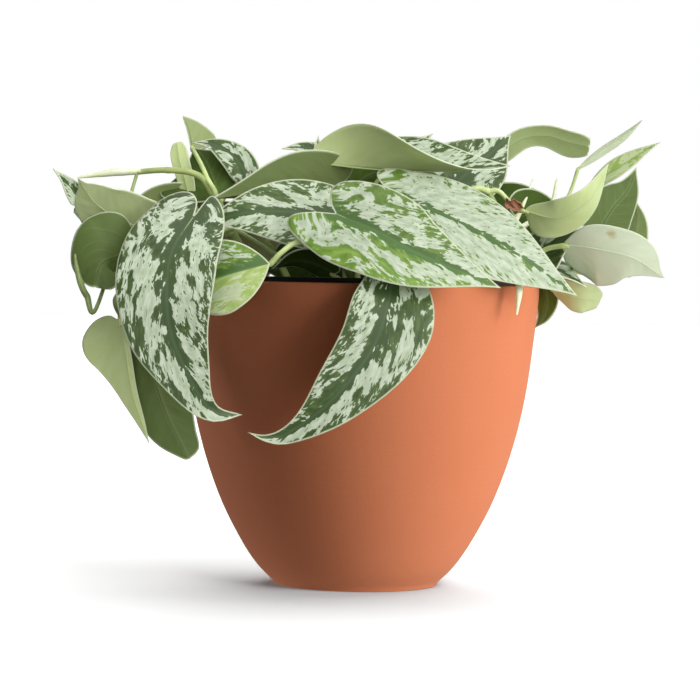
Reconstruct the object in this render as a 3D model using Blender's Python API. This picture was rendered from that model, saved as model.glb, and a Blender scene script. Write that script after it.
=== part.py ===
"""Satin pothos in a black nursery pot, standing in a terracotta cover pot."""
import math

import bmesh
import bpy
import numpy as np

MM = 0.001

# cover pot
COVER_HEIGHT = 143.0
COVER_RIM_RADIUS = 85.0
COVER_BASE_RADIUS = 39.5
COVER_WALL = 4.0
COVER_FLOOR = 9.0
COVER_SIDE = [(39.5, 1.5), (47.0, 9.0), (54.5, 20.0), (63.5, 37.0), (70.5, 55.0), (76.0, 74.0), (80.0, 94.0),
              (83.0, 118.0), (84.8, 136.0), (85.0, 142.2)]
COVER_STEPS = 40

# nursery pot
NURSERY_BOTTOM = 29.0
NURSERY_TOP = 145.4
NURSERY_BASE_RADIUS = 55.3  # its foot wedges in the taper of the cover pot
NURSERY_TOP_RADIUS = 74.5
NURSERY_RIM_RADIUS = 77.0
NURSERY_RIM_DROP = 7.0
NURSERY_WALL = 1.2
NURSERY_STEPS = 28
DRAIN_HOLES = 4
DRAIN_RADIUS = 4.0
DRAIN_CIRCLE = 34.0

# soil
SOIL_TOP = 134.0
SOIL_HOLE_DEPTH = 12.0
GAP = 0.35

# plant
BLADE_THICKNESS = 0.8
BLADE_ROWS = (5, 7)
BLADE_COLUMNS = (4, 6)
OUTLINED_ROWS = 9
BROAD_BLADE = 33.5
STEM_SIDES = 6
STALK_SIDES = 5
STALK_BELOW = 0.5  # how far the stalk's end sits under the blade, as a share of its radius

# unit leaf: along the midrib from stalk to tip, and half width; the lobes reach back past the stalk
HEART = [(0.0, 0.0), (-0.055, 0.09), (-0.095, 0.22), (-0.075, 0.36), (0.03, 0.465), (0.19, 0.5),
         (0.38, 0.465), (0.56, 0.36), (0.72, 0.225), (0.85, 0.11), (0.94, 0.04), (1.0, 0.0)]
YOUNG = [(0.0, 0.0), (0.03, 0.08), (0.09, 0.2), (0.18, 0.33), (0.29, 0.43), (0.42, 0.49),
         (0.55, 0.46), (0.68, 0.36), (0.8, 0.22), (0.9, 0.1), (0.96, 0.035), (1.0, 0.0)]
BLUNT = [(0.0, 0.0), (-0.055, 0.09), (-0.095, 0.22), (-0.075, 0.36), (0.03, 0.465), (0.2, 0.5),
         (0.4, 0.49), (0.6, 0.44), (0.76, 0.34), (0.86, 0.2), (0.92, 0.07), (1.0, 0.0)]
SHAPES = {"heart": HEART, "young": YOUNG, "blunt": BLUNT}

# stem: points from below the soil's face to its end, with the radius at both ends
STEMS = {
    "left": dict(line=[(-46, -12, 138), (-56, -18, 158), (-69, -22, 182), (-77, -25, 192), (-91, -26, 194),
                       (-105, -24, 193)], radius=(1.9, 1.3)),
    "front": dict(line=[(-6, -26, 138), (-4, -32, 152), (-3, -36, 166), (-6, -40, 176)], radius=(2.0, 1.5)),
    "right": dict(line=[(50, -6, 138), (62, -14, 150), (69, -18, 163), (67, -20, 170), (63, -22, 179),
                        (59, -22, 187)], radius=(1.9, 1.4)),
    "centre": dict(line=[(0, 22, 138), (-4, 18, 156), (-8, 6, 178), (-14, -2, 190)], radius=(2.0, 1.4)),
    "far_right": dict(line=[(46, 22, 138), (60, 26, 154), (76, 29, 168), (88, 32, 178)], radius=(1.9, 1.3)),
    "back_left": dict(line=[(-32, 36, 138), (-42, 44, 156), (-56, 54, 176)], radius=(1.9, 1.4)),
    "back_right": dict(line=[(28, 42, 138), (36, 50, 156), (48, 58, 172)], radius=(1.9, 1.4)),
    "back_top": dict(line=[(-6, 44, 138), (-8, 44, 158), (-10, 42, 180)], radius=(1.9, 1.4)),
}

# each leaf: the stem that carries it, its stalk from the stem, the midrib from the stalk to the tip, the way its
# upper side faces at both ends, its width, then how far the two halves fold up and arch over, in degrees; edges gives
# the outline of each half as a share of the length and the distance from the midrib
LEAVES = {
    "a": dict(stem="left", stalk=[(-62, -18, 168), (-70, -38, 163), (-77, -56, 164)],
              rib=[(-76, -62, 172), (-84, -79, 157), (-86, -88, 141), (-84, -89, 120), (-74, -86, 97),
                   (-65, -81, 85), (-52, -76, 83)],
              up=[(-0.2, -0.9, 0.4), (0.1, -1.0, 0.1)], width=48, fold=(6, 10), arch=(14, 22),
              edges=([(0, 0), (-0.08, 0.5), (-0.13, 1.5), (-0.125, 5), (-0.08, 10), (-0.02, 14), (0.07, 18),
                      (0.17, 20.5), (0.3, 21.5), (0.42, 20), (0.55, 17), (0.7, 11), (0.8, 6), (0.9, 2.5), (1, 0)],
                     [(0, 0), (-0.07, 2), (-0.115, 6), (-0.12, 11), (-0.09, 16), (-0.03, 20), (0.06, 22),
                      (0.18, 23.5), (0.36, 23.5), (0.55, 19), (0.7, 13), (0.8, 9), (0.9, 4.5), (1, 0)])),
    "g": dict(stem="left", stalk=[(-60, -18, 166), (-80, -24, 162), (-94, -28, 164)],
              rib=[(-105, -36, 155), (-113, -44, 153), (-119, -50, 149), (-121, -53, 139)],
              up=[(0.2, 0.9, 0.3), (0.3, 0.9, -0.1)], width=37, fold=(10, 14), arch=(-20, -14),
              edges=([(0, 0), (-0.05, 4), (-0.04, 8), (0, 12), (0.12, 18.5), (0.33, 22.5), (0.5, 22), (0.62, 18.5),
                      (0.73, 15.5), (0.84, 11.5), (0.93, 7.5), (1, 3), (1, 0)],
                     [(0, 0), (-0.03, 3), (0.02, 8), (0.15, 11), (0.4, 12), (0.65, 12), (0.85, 11), (0.97, 8.5),
                      (1.03, 4), (1, 0)])),
    "h": dict(stem="left", stalk=[(-56, -18, 158), (-82, -32, 156), (-108, -38, 140)],
              rib=[(-110, -38, 123), (-107, -46, 108), (-103, -52, 90), (-95, -56, 68)],
              up=[(0.3, 0.9, 0.4), (0.2, 0.9, 0.1)], width=38, fold=(8, 20), arch=(10, 0),
              edges=([(0, 0), (-0.1, 6), (-0.13, 13), (-0.1, 19), (-0.02, 23.3), (0.08, 23.6), (0.2, 20.8),
                      (0.35, 15), (0.52, 9), (0.72, 4.5), (0.9, 1.5), (1, 0)],
                     [(0, 0), (0, 1.2), (0.1, 2), (0.3, 2.4), (0.5, 2.4), (0.7, 2), (0.85, 1.3), (1, 0)])),
    "h2": dict(stem="left", stalk=[(-54, -17, 154), (-80, -26, 152), (-98, -30, 140)],
               rib=[(-104, -34, 125), (-97, -42, 106), (-88, -48, 82), (-77, -50, 61)],
               up=[(0.1, 0.9, 0.4), (0.0, 0.9, 0.1)], width=34, fold=(10, 10), arch=(10, 10),
               edges=([(0, 0), (-0.05, 3), (-0.03, 7), (0.05, 11), (0.2, 13.5), (0.4, 15), (0.6, 14.5), (0.745, 12.5),
                       (0.85, 9.5), (0.94, 5), (0.99, 2), (1, 0)],
                      [(0, 0), (-0.06, 4), (-0.05, 9), (0.02, 13), (0.15, 15), (0.35, 16), (0.55, 14.5), (0.7, 12),
                       (0.77, 10.8), (0.855, 8.9), (0.95, 7.1), (0.985, 4.2), (1, 0)])),
    "i": dict(stem="left", stalk=[(-66, -18, 176), (-76, -19, 174), (-88, -20, 169)],
              rib=[(-98, -22, 165), (-110, -32, 170), (-122, -38, 177), (-131, -42, 189)],
              up=[(0.2, 0.9, 0.4), (0.4, 0.8, 0.4)], width=33, fold=(10, 10), arch=(10, 14), shape="blunt"),
    "j": dict(stem="left", stalk=[(-64, -18, 172), (-88, -12, 166), (-112, -12, 166)],
              rib=[(-124, -16, 172), (-132, -20, 180), (-139, -20, 188), (-145, -18, 194)],
              up=[(-0.7, -0.2, 0.6), (-0.5, -0.3, 0.8)], width=14, fold=(50, 20), arch=(10, 10)),
    "k": dict(stem="left", stalk=[(-62, -18, 168), (-66, -12, 174)],
              rib=[(-76, -6, 176), (-88, -6, 178), (-99, -7, 176), (-109, -8, 170)],
              up=[(0.0, 0.9, 0.4), (0.0, 0.9, 0.4)], width=24, fold=(10, 10), arch=(10, 10), shape="blunt"),
    "l": dict(stem="left", stalk=[(-64, -18, 172), (-72, -13, 172)],
              rib=[(-81, -11, 180), (-83, -11, 189), (-86, -9, 199), (-88, -5, 208)],
              up=[(0.3, 0.9, 0.1), (0.3, 0.9, -0.2)], width=10, fold=(16, 16), arch=(20, 20),
              edges=([(0, 0), (0, 1.5), (0.1, 3.2), (0.3, 4.2), (0.6, 4.5), (0.82, 4.4), (0.95, 3.2), (1.01, 1.5),
                      (1, 0)],
                     [(0, 0), (0, 1.5), (0.1, 3.2), (0.3, 4.2), (0.6, 4.5), (0.82, 4.4), (0.95, 3.2), (1.01, 1.5),
                      (1, 0)])),
    "m": dict(stem="left", stalk=[(-68, -18, 181), (-69, -24, 185), (-72, -25, 190), (-75, -20, 196), (-78, -10, 201)],
              rib=[(-81, 3, 205), (-82, 8, 211), (-84, 13, 217), (-87, 18, 222)],
              up=[(0.2, 0.8, -0.5), (0.2, 0.8, -0.4)], width=26, fold=(10, 10), arch=(14, 14), shape="young",
              edges=([(0, 0), (-0.02, 6), (0.05, 10), (0.2, 12), (0.4, 9.5), (0.6, 6.5), (0.8, 3.2), (1, 0)],
                     [(0, 0), (0.02, 0.6), (0.1, 1), (0.3, 1.4), (0.5, 1.4), (0.7, 1.2), (0.85, 0.8), (1, 0)])),
    "n": dict(stem="left", stalk=[(-67, -18, 179), (-61, -13, 187)],
              rib=[(-54, -16, 193), (-60, -13, 201), (-70, -8, 207), (-81, -4, 208)],
              up=[(-0.3, -0.7, 0.5), (0.1, -0.7, 0.7)], width=15, fold=(10, 10), arch=(10, 10)),
    "n2": dict(stem="left", stalk=[(-66, -18, 176), (-66, -19, 178)],
               rib=[(-67, -18, 181), (-70, -12, 189), (-74, -5, 198), (-80, 0, 206)],
               up=[(0.1, 0.9, -0.3), (0.1, 0.9, -0.4)], width=42, fold=(10, 10), arch=(14, 14), share=(0.36, 0.62),
               shape="young"),
    "b": dict(stem="front", stalk=[(-5, -31, 150), (-3, -54, 153), (8, -74, 155)],
              rib=[(14, -80, 151), (12, -93, 133), (5, -97, 113), (-12, -98, 91), (-30, -95, 77), (-40, -93, 74),
                   (-49, -91, 76)],
              up=[(0.1, -0.9, 0.5), (0.1, -1.0, 0.2)], width=42, fold=(10, 14), arch=(20, 20),
              edges=([(0, 0), (-0.03, 4), (-0.02, 9), (0.03, 13), (0.09, 17), (0.18, 21), (0.28, 22), (0.45, 17.5),
                      (0.61, 12.5), (0.78, 7), (0.87, 4), (0.94, 1.5), (1, 0)],
                     [(0, 0), (-0.03, 2.5), (-0.02, 6), (0.04, 10), (0.1, 13), (0.18, 16), (0.28, 16.5),
                      (0.45, 15), (0.61, 11.5), (0.78, 4.5), (0.87, 2.5), (0.94, 1), (1, 0)])),
    "c": dict(stem="front", stalk=[(-4, -37, 169), (-3, -52, 170), (-6, -64, 168)],
              rib=[(-12, -72, 174), (7, -84, 166), (26, -90, 156), (62, -88, 142)],
              up=[(-0.1, -0.8, 0.6), (0.1, -0.9, 0.5)], width=47, fold=(10, 6), arch=(15, 20), lobes=(1.2, 2.2)),
    "e": dict(stem="front", stalk=[(-3, -36, 167), (-5, -39, 172)],
              rib=[(-10, -40, 173), (-33, -46, 175), (-54, -49, 174), (-75, -46, 168)],
              up=[(0.0, -0.9, 0.4), (-0.1, -0.9, 0.3)], width=35, fold=(8, 8), arch=(18, 18)),
    "f": dict(stem="front", stalk=[(-5, -30, 146), (-14, -58, 160), (-28, -70, 161), (-36, -72, 156)],
              rib=[(-41, -71, 151), (-57, -71, 147), (-73, -66, 142), (-88, -58, 137)],
              up=[(0.1, -0.9, 0.3), (-0.2, -0.9, 0.2)], width=38, fold=(14, 10), arch=(14, 14), shape="young",
              share=(0.51, 0.45)),
    "d": dict(stem="right", stalk=[(59, -22, 187), (52, -25, 188), (38, -28, 181), (22, -34, 180)],
              rib=[(15, -44, 183), (42, -56, 173), (70, -62, 158), (99, -52, 139)],
              up=[(0.1, -0.8, 0.7), (0.3, -0.9, 0.3)], width=40, fold=(8, 8), arch=(15, 15), lobes=(1.6, 0.4),
              share=(0.55, 0.72)),
    "w": dict(stem="right", stalk=[(59, -22, 187), (64, -23, 187), (69, -24, 182), (73, -25, 179)],
              rib=[(76, -28, 178), (90, -40, 175), (104, -46, 183), (113, -42, 200)],
              up=[(-0.1, 0.95, 0.3), (-0.4, 0.8, 0.2)], width=22, fold=(14, 18), arch=(14, 14),
              edges=([(0, 0), (0, 1.5), (0.03, 5.5), (0.08, 9.2), (0.18, 10.5), (0.33, 9.9), (0.48, 8.8), (0.6, 6.8),
                      (0.72, 4.4), (0.82, 2.8), (0.92, 1.4), (1, 0)],
                     [(0, 0), (0.02, 2), (0.08, 4.3), (0.18, 6.5), (0.32, 8.4), (0.5, 8.2), (0.68, 6), (0.82, 3.5),
                      (0.92, 1.6), (1, 0)])),
    "w2": dict(stem="right", stalk=[(67, -17, 158), (74, -10, 158)],
               rib=[(80, -6, 157), (87, -12, 160), (94, -18, 165), (101, -23, 170)],
               up=[(-0.5, -0.8, 0.5), (-0.5, -0.8, 0.5)], width=25, fold=(10, 10), arch=(10, 10),
               share=(0.5, 0.7)),
    "w3": dict(stem="right", stalk=[(68, -18, 166), (70, -15, 172)],
               rib=[(72, -13, 176), (80, -9, 178), (88, -6, 178), (97, -4, 175)],
               up=[(0.0, 0.9, 0.3), (0.0, 0.9, 0.3)], width=24, fold=(10, 10), arch=(10, 10)),
    "z": dict(stem="right", stalk=[(68, -18, 161), (80, -19, 158), (88, -23, 161)],
              rib=[(95, -27, 163), (109, -35, 161), (126, -38, 157), (141, -32, 148)],
              up=[(-0.1, 0.8, 0.6), (0.2, 0.9, 0.4)], width=35, fold=(12, 12), arch=(10, 10),
              edges=([(0, 0), (-0.04, 4), (-0.06, 9), (-0.05, 13.5), (0.02, 18), (0.14, 21.5), (0.27, 22), (0.41, 20),
                      (0.57, 16.5), (0.73, 10.8), (0.88, 4.2), (1, 0)],
                     [(0, 0), (0, 1.2), (0.06, 4.5), (0.14, 8.3), (0.24, 11.5), (0.36, 12.8), (0.5, 12.4),
                      (0.62, 11.5), (0.73, 9.3), (0.83, 5.8), (0.91, 2.4), (1, 0)])),
    "aa": dict(stem="right", stalk=[(64, -16, 154), (78, -12, 157)],
               rib=[(86, -12, 152), (93, -18, 150), (99, -22, 147), (106, -22, 143)],
               up=[(0.0, -0.5, 0.9), (0.3, -0.4, 0.9)], width=17, fold=(20, 20), arch=(10, 10)),
    "bb": dict(stem="right", stalk=[(60, -13, 148), (80, -8, 150)],
               rib=[(92, -8, 142), (99, -15, 139), (106, -17, 138), (113, -14, 137)],
               up=[(0.0, 0.8, 0.6), (0.2, 0.9, 0.4)], width=17, fold=(10, 10), arch=(10, 10), shape="blunt",
               edges=([(0, 0), (-0.08, 3), (0.04, 6), (0.25, 7.8), (0.5, 8.6), (0.75, 8.2), (0.93, 6.2), (1.03, 3), (1, 0)],
                      [(0, 0), (-0.1, 3), (0.02, 6), (0.22, 8), (0.5, 8.5), (0.75, 7.5), (0.94, 5), (1.03, 2.5), (1, 0)])),
    "o": dict(stem="centre", stalk=[(-12, 0, 187)],
              rib=[(-12, -4, 188), (-34, -14, 188), (-54, -24, 184), (-70, -31, 181)],
              up=[(0.0, 0.4, 0.9), (0.0, 0.4, 0.9)], width=38, fold=(48, 5), arch=(10, 10), share=(0.5, 0.35)),
    "r": dict(stem="centre", stalk=[(-12, 0, 188), (-20, -4, 194)],
              rib=[(-24, -8, 200), (3, -15, 197), (36, -23, 196), (69, -23, 199)],
              up=[(0.0, 0.3, 0.95), (0.0, -0.3, 0.95)], width=44, fold=(66, 92), arch=(8, 14),
              fold_tip=(-0.25, -1.05),
              edges=([(0, 0), (0.01, 3.5), (0.03, 7.5), (0.06, 11), (0.11, 14.5), (0.18, 17.5), (0.28, 20.4),
                      (0.42, 21.6), (0.55, 20.2), (0.68, 15.8), (0.8, 9.7), (0.9, 4.4), (1, 0)],
                     [(0, 0), (-0.01, 5), (0.015, 9.4), (0.05, 13), (0.1, 16.5), (0.17, 20), (0.28, 23), (0.42, 24.6),
                      (0.55, 23.1), (0.68, 18), (0.8, 11), (0.9, 5), (1, 0)])),
    "r2": dict(stem="centre", stalk=[(-6, 12, 168), (6, 6, 190)],
               rib=[(14, 8, 200), (22, 14, 208), (30, 20, 213), (34, 24, 216)],
               up=[(0.0, -0.8, 0.6), (0.0, -0.8, 0.6)], width=12, fold=(10, 10), arch=(10, 10)),
    "p": dict(stem="back_top", stalk=[(-9, 43, 176), (-12, 52, 194)],
              rib=[(-16, 58, 207), (-24, 60, 209), (-32, 60, 210), (-40, 58, 209)],
              up=[(0.0, -0.7, 0.7), (0.0, -0.7, 0.7)], width=11, fold=(8, 8), arch=(10, 10)),
    "q": dict(stem="back_top", stalk=[(-9, 43, 178), (-16, 46, 192)],
              rib=[(-20, 50, 200), (-21, 52, 206), (-22, 54, 211), (-22, 56, 216)],
              up=[(0.0, -0.9, 0.2), (0.0, -0.9, 0.2)], width=7, fold=(20, 20), arch=(10, 10)),
    "s": dict(stem="far_right", stalk=[(50, 23, 138), (44, 10, 164), (42, 0, 182)],
              rib=[(43, 0, 190), (53, 10, 199), (62, 20, 207), (72, 30, 216)],
              up=[(-0.2, -0.9, 0.3), (-0.1, -0.8, 0.5)], width=40, fold=(8, 8), arch=(14, 14), share=(0.62, 0.45)),
    "t": dict(stem="far_right", stalk=[(54, 25, 149), (52, 32, 172), (54, 36, 190)],
              rib=[(66, 38, 206), (78, 42, 215), (90, 43, 217), (101, 42, 214), (111, 40, 212)],
              up=[(-0.1, 0.9, 0.3), (0.1, 0.9, 0.2)], width=13, fold=(12, 14), arch=(20, 24),
              edges=([(0, 0), (-0.04, 3), (0.06, 5.4), (0.25, 5.6), (0.45, 5.2), (0.65, 6.4), (0.82, 7.4), (0.95, 6),
                      (1.03, 3.6), (1.03, 1.4), (1, 0)],
                     [(0, 0), (-0.04, 2), (0.06, 4.4), (0.25, 5.6), (0.45, 5.4), (0.65, 5.6), (0.82, 5.8), (0.94, 5.2),
                      (1.02, 3.2), (1.03, 1.2), (1, 0)])),
    "u": dict(stem="far_right", stalk=[(86, 31, 176), (96, 37, 180), (102, 41, 189)],
              rib=[(106, 42, 201), (118, 40, 210), (129, 36, 218), (136, 32, 225)],
              up=[(-0.4, 0.7, -0.3), (-0.4, 0.7, -0.3)], width=8, fold=(50, 50), arch=(-20, -20), shape="young"),
    "v": dict(stem="far_right", stalk=[(82, 30, 173), (98, 22, 176)],
              rib=[(108, 18, 189), (119, 12, 198), (131, 8, 206), (142, 4, 213)],
              up=[(-0.4, -0.8, 0.4), (-0.4, -0.8, 0.4)], width=11, fold=(20, 20), arch=(14, 14), shape="young"),
    "x": dict(stem="far_right", stalk=[(70, 27, 162), (92, 10, 160), (106, 0, 163)],
              rib=[(113, -4, 170), (119, 2, 180), (127, 6, 190), (131, 8, 201)],
              up=[(-0.3, 0.9, -0.1), (-0.3, 0.9, -0.1)], width=26, fold=(10, 10), arch=(10, 10)),
    "y": dict(stem="far_right", stalk=[(66, 26, 158), (96, 26, 152), (118, 25, 149)],
              rib=[(126, 24, 153), (131, 26, 165), (134, 26, 176), (132, 24, 187)],
              up=[(0.3, 0.9, 0.1), (0.3, 0.9, 0.1)], width=18, fold=(10, 10), arch=(10, 10)),
    "cc": dict(stem="far_right", stalk=[(60, 25, 151), (78, 24, 154)],
               rib=[(85, 22, 149), (90, 20, 139), (89, 20, 129), (84, 22, 122)],
               up=[(0.6, 0.7, 0.4), (0.3, 0.9, 0.2)], width=15, fold=(10, 10), arch=(10, 10)),
    "under_a": dict(stem="back_top", stalk=[(-8, 44, 162), (4, 26, 168)],
                    rib=[(9, 16, 170), (14, 6, 174), (20, -5, 174), (27, -14, 167)],
                    up=[(0.0, -0.1, 1.0), (0.3, -0.3, 0.9)], width=26, fold=(10, 10), arch=(14, 14)),
    "under_b": dict(stem="centre", stalk=[(-5, 16, 162), (-12, 22, 168)],
                    rib=[(-20, 24, 171), (-34, 20, 176), (-46, 14, 175), (-57, 10, 168)],
                    up=[(0.0, -0.1, 1.0), (-0.5, -0.1, 0.9)], width=32, fold=(10, 10), arch=(14, 14)),
    "under_c": dict(stem="back_top", stalk=[(-7, 44, 148)],
                    rib=[(3, 50, 149), (-14, 55, 152), (-32, 56, 152), (-49, 52, 147)],
                    up=[(0.0, 0.9, 0.3), (0.0, 0.9, 0.3)], width=36, fold=(10, 10), arch=(10, 10), shape="blunt",
                    share=(0.5, 0.33)),
    "under_e": dict(stem="back_top", stalk=[(-9, 43, 176), (-8, 42, 184)],
                    rib=[(-4, 41, 190), (4, 42, 196), (14, 44, 198), (28, 46, 194)],
                    up=[(0.0, 0.9, 0.3), (0.0, 0.9, 0.3)], width=26, fold=(10, 10), arch=(10, 10)),
    "under_f": dict(stem="far_right", stalk=[(62, 26, 156), (60, 20, 168)],
                    rib=[(62, 14, 177), (74, 16, 179), (86, 18, 179), (98, 16, 174)],
                    up=[(0.0, 0.9, 0.3), (0.0, 0.9, 0.3)], width=30, fold=(10, 10), arch=(10, 10)),
    "under_d": dict(stem="front", stalk=[(-6, -28, 142)],
                    rib=[(-12, -20, 147), (-22, -14, 152), (-32, -10, 153), (-42, -8, 149)],
                    up=[(0.0, 0.7, 0.7), (-0.2, 0.7, 0.7)], width=20, fold=(10, 10), arch=(10, 10)),
    "back_a": dict(stem="back_left", stalk=[(-50, 50, 168)],
                   rib=[(-60, 56, 178), (-76, 70, 176), (-88, 80, 160), (-94, 84, 138)],
                   up=[(-0.3, 0.5, 0.8), (-0.7, 0.7, 0.2)], width=42, fold=(10, 10), arch=(16, 16)),
    "back_b": dict(stem="back_left", stalk=[(-46, 47, 162), (-48, 54, 168)],
                   rib=[(-50, 62, 170), (-56, 80, 166), (-58, 94, 148), (-54, 98, 122)],
                   up=[(0.0, 0.5, 0.9), (-0.2, 1.0, 0.1)], width=44, fold=(10, 10), arch=(16, 16)),
    "back_c": dict(stem="back_left", stalk=[(-42, 44, 156), (-62, 34, 168)],
                   rib=[(-78, 26, 172), (-96, 30, 168), (-108, 34, 154), (-112, 36, 132)],
                   up=[(-0.4, 0.1, 0.9), (-1.0, 0.2, 0.2)], width=36, fold=(10, 10), arch=(16, 16)),
    "back_d": dict(stem="back_right", stalk=[(44, 56, 167)],
                   rib=[(50, 60, 174), (62, 74, 172), (70, 86, 156), (72, 92, 134)],
                   up=[(0.2, 0.5, 0.8), (0.5, 0.9, 0.1)], width=42, fold=(10, 10), arch=(16, 16)),
    "back_e": dict(stem="back_right", stalk=[(38, 51, 158), (30, 58, 166)],
                   rib=[(26, 64, 170), (24, 82, 166), (20, 96, 148), (12, 100, 122)],
                   up=[(0.0, 0.5, 0.9), (0.0, 1.0, 0.1)], width=44, fold=(10, 10), arch=(16, 16)),
    "back_f": dict(stem="back_right", stalk=[(40, 53, 161), (54, 50, 168)],
                   rib=[(68, 46, 172), (82, 56, 172), (92, 66, 162), (98, 72, 148)],
                   up=[(0.3, 0.2, 0.9), (0.8, 0.6, 0.3)], width=34, fold=(10, 10), arch=(16, 16)),
    "back_g": dict(stem="back_top", stalk=[(-9, 43, 172)],
                   rib=[(-10, 46, 184), (-14, 62, 190), (-16, 80, 186), (-14, 94, 170)],
                   up=[(0.0, -0.1, 1.0), (0.0, 0.8, 0.6)], width=40, fold=(14, 14), arch=(20, 20)),
    "back_h": dict(stem="back_top", stalk=[(-9, 43, 170), (0, 36, 180)],
                   rib=[(8, 34, 186), (22, 44, 192), (38, 56, 190), (50, 68, 180)],
                   up=[(-0.1, -0.1, 1.0), (0.5, 0.6, 0.6)], width=38, fold=(14, 14), arch=(20, 20)),
    "back_i": dict(stem="back_top", stalk=[(-9, 43, 168), (-16, 34, 178)],
                   rib=[(-24, 28, 184), (-38, 35, 190), (-50, 41, 189), (-60, 43, 182)],
                   up=[(0.1, -0.1, 1.0), (-0.5, 0.6, 0.6)], width=36, fold=(14, 14), arch=(20, 20)),
}

# shoots without a blade: rolled leaves, growing tips and dry spikes
SHOOTS = {
    "rolled_leaf": dict(stem="left", line=[(-103, -24, 193), (-112, -23, 193), (-120, -22, 192), (-133, -21, 190)],
                        radius=(1.3, 1.9, 1.5, 0.5)),
    "rolled_rim": dict(stem="left", line=[(-111, -50, 130), (-120, -51, 131), (-125, -52, 135), (-128, -52, 141),
                                          (-130, -51, 148), (-131, -50, 154)], radius=(0.8, 0.9, 1.5, 1.5, 1.1, 0.6)),
    "growing_tip": dict(stem="right", line=[(62, -14, 150), (64, -24, 152), (67, -40, 152), (71, -53, 149),
                                            (72, -60, 141), (71, -61, 130)], radius=(1.1, 1.2, 1.3, 1.7, 1.7, 0.5)),
    "spike_left": dict(stem="right", line=[(68, -18, 166), (75, -13, 179), (81, -9, 194)], radius=(1.3, 1.1, 0.4)),
    "spike_right": dict(stem="right", line=[(70, -16, 168), (88, -9, 180), (92, -8, 194)], radius=(1.3, 1.2, 0.4)),
    "young_leaf": dict(stem="left", line=[(-56, -18, 157), (-84, -34, 152), (-104, -44, 142), (-110, -50, 133),
                                          (-108, -51, 124)], radius=(1.0, 1.0, 1.3, 3.4, 1.3)),
}


def unit(values):
    values = np.asarray(values, float)
    return values / np.linalg.norm(values, axis=-1, keepdims=True)


def spline(points, t):
    """Smooth curve through the points, t from 0 to 1 over the whole chain."""
    p = np.asarray(points, float)
    count = len(p) - 1
    p = np.vstack([2 * p[0] - p[1], p, 2 * p[-1] - p[-2]])
    x = np.clip(np.asarray(t, float), 0, 1) * count
    i = np.minimum(x.astype(int), count - 1)
    f = (x - i)[..., None]
    a, b, c, d = p[i], p[i + 1], p[i + 2], p[i + 3]
    return b + 0.5 * f * (c - a + f * (2 * a - 5 * b + 4 * c - d + f * (3 * (b - c) + d - a)))


def half_outlines(leaf, whole):
    """Outline of the blade's two halves: how far along the midrib, and how far out from it."""
    outlines = []
    for k in (0, 1):
        if "edges" in leaf:
            outlines.append(np.array(leaf["edges"][k]) * (whole, 1.0))
            continue
        outline = np.array(SHAPES[leaf.get("shape", "heart")])
        lobe = leaf.get("lobes", (1.0, 1.0))[k]
        outline[:, 0] = np.where(outline[:, 0] < 0, outline[:, 0] * lobe, outline[:, 0]) * whole
        outline[:, 1] *= 2 * leaf["width"] * leaf.get("share", (0.5, 0.5))[k]
        outlines.append(outline)
    return outlines


def blade_grid(leaf, rows, columns):
    """Points of the blade by row from stalk to tip and by column from margin to margin."""
    samples = np.linspace(0, 1, 60)
    line = spline(leaf["rib"], samples)
    tangent = unit(np.gradient(line, axis=0))
    steps = np.linalg.norm(np.diff(line, axis=0), axis=1)
    length = np.concatenate([[0.0], np.cumsum(steps)])
    whole = length[-1]
    share = (length / whole)[:, None]
    up = unit(leaf["up"][0]) * (1 - share) + unit(leaf["up"][1]) * share
    up = unit(up - (up * tangent).sum(1, keepdims=True) * tangent)
    side = np.cross(tangent, up)

    r = np.linspace(0, 1, rows + 1)[:, None]
    v = np.linspace(-1, 1, columns + 1)[None, :]
    a = np.abs(v)
    left = v < 0
    halves = [spline(outline, r[:, 0] ** 0.9) for outline in half_outlines(leaf, whole)]
    s = r * whole * (1 - a) + np.where(left, halves[0][:, :1], halves[1][:, :1]) * a
    across = np.where(left, halves[0][:, 1:], halves[1][:, 1:]) * a

    later = leaf.get("fold_tip", (0.0, 0.0))
    fold = np.radians(np.where(left, leaf["fold"][0], leaf["fold"][1]))
    fold = fold * (1 + np.where(left, later[0], later[1]) * np.clip(s / whole, 0, 1))
    bend = np.radians(np.where(left, leaf["arch"][0], leaf["arch"][1])) * 2 / leaf["width"] + 1e-9
    sideways = (np.sin(fold) - np.sin(fold - bend * across)) / bend * np.sign(v)
    lift = (np.cos(fold - bend * across) - np.cos(fold)) / bend

    at = np.clip(s, 0, whole)

    def there(values):
        return np.stack([np.interp(at, length, values[:, i]) for i in range(3)], -1)

    centre = there(line) + np.minimum(s, 0)[..., None] * tangent[0]
    return centre + sideways[..., None] * unit(there(side)) + lift[..., None] * unit(there(up))


def blade_surface(grid):
    """One point at the stalk, one at the tip and the rows between, with the triangles over them."""
    rows, columns = grid.shape[0] - 1, grid.shape[1]
    points = np.vstack([grid[0, :1], grid[1:rows].reshape(-1, 3), grid[rows, :1]])
    last = len(points) - 1
    faces = []

    def at(row, column):
        return 1 + (row - 1) * columns + column

    middle = (columns - 1) // 2
    for c in range(columns - 1):
        faces.append((0, at(1, c + 1), at(1, c)))
        faces.append((last, at(rows - 1, c), at(rows - 1, c + 1)))
        for row in range(1, rows - 1):
            p, q = at(row, c), at(row, c + 1)
            s, t = at(row + 1, c), at(row + 1, c + 1)
            if c < middle:
                faces += [(p, q, s), (q, t, s)]
            else:
                faces += [(p, q, t), (p, t, s)]
    border = [0] + [at(row, 0) for row in range(1, rows)] + [last]
    border += [at(row, columns - 1) for row in range(rows - 1, 0, -1)]
    return points, np.array(faces), border


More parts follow.
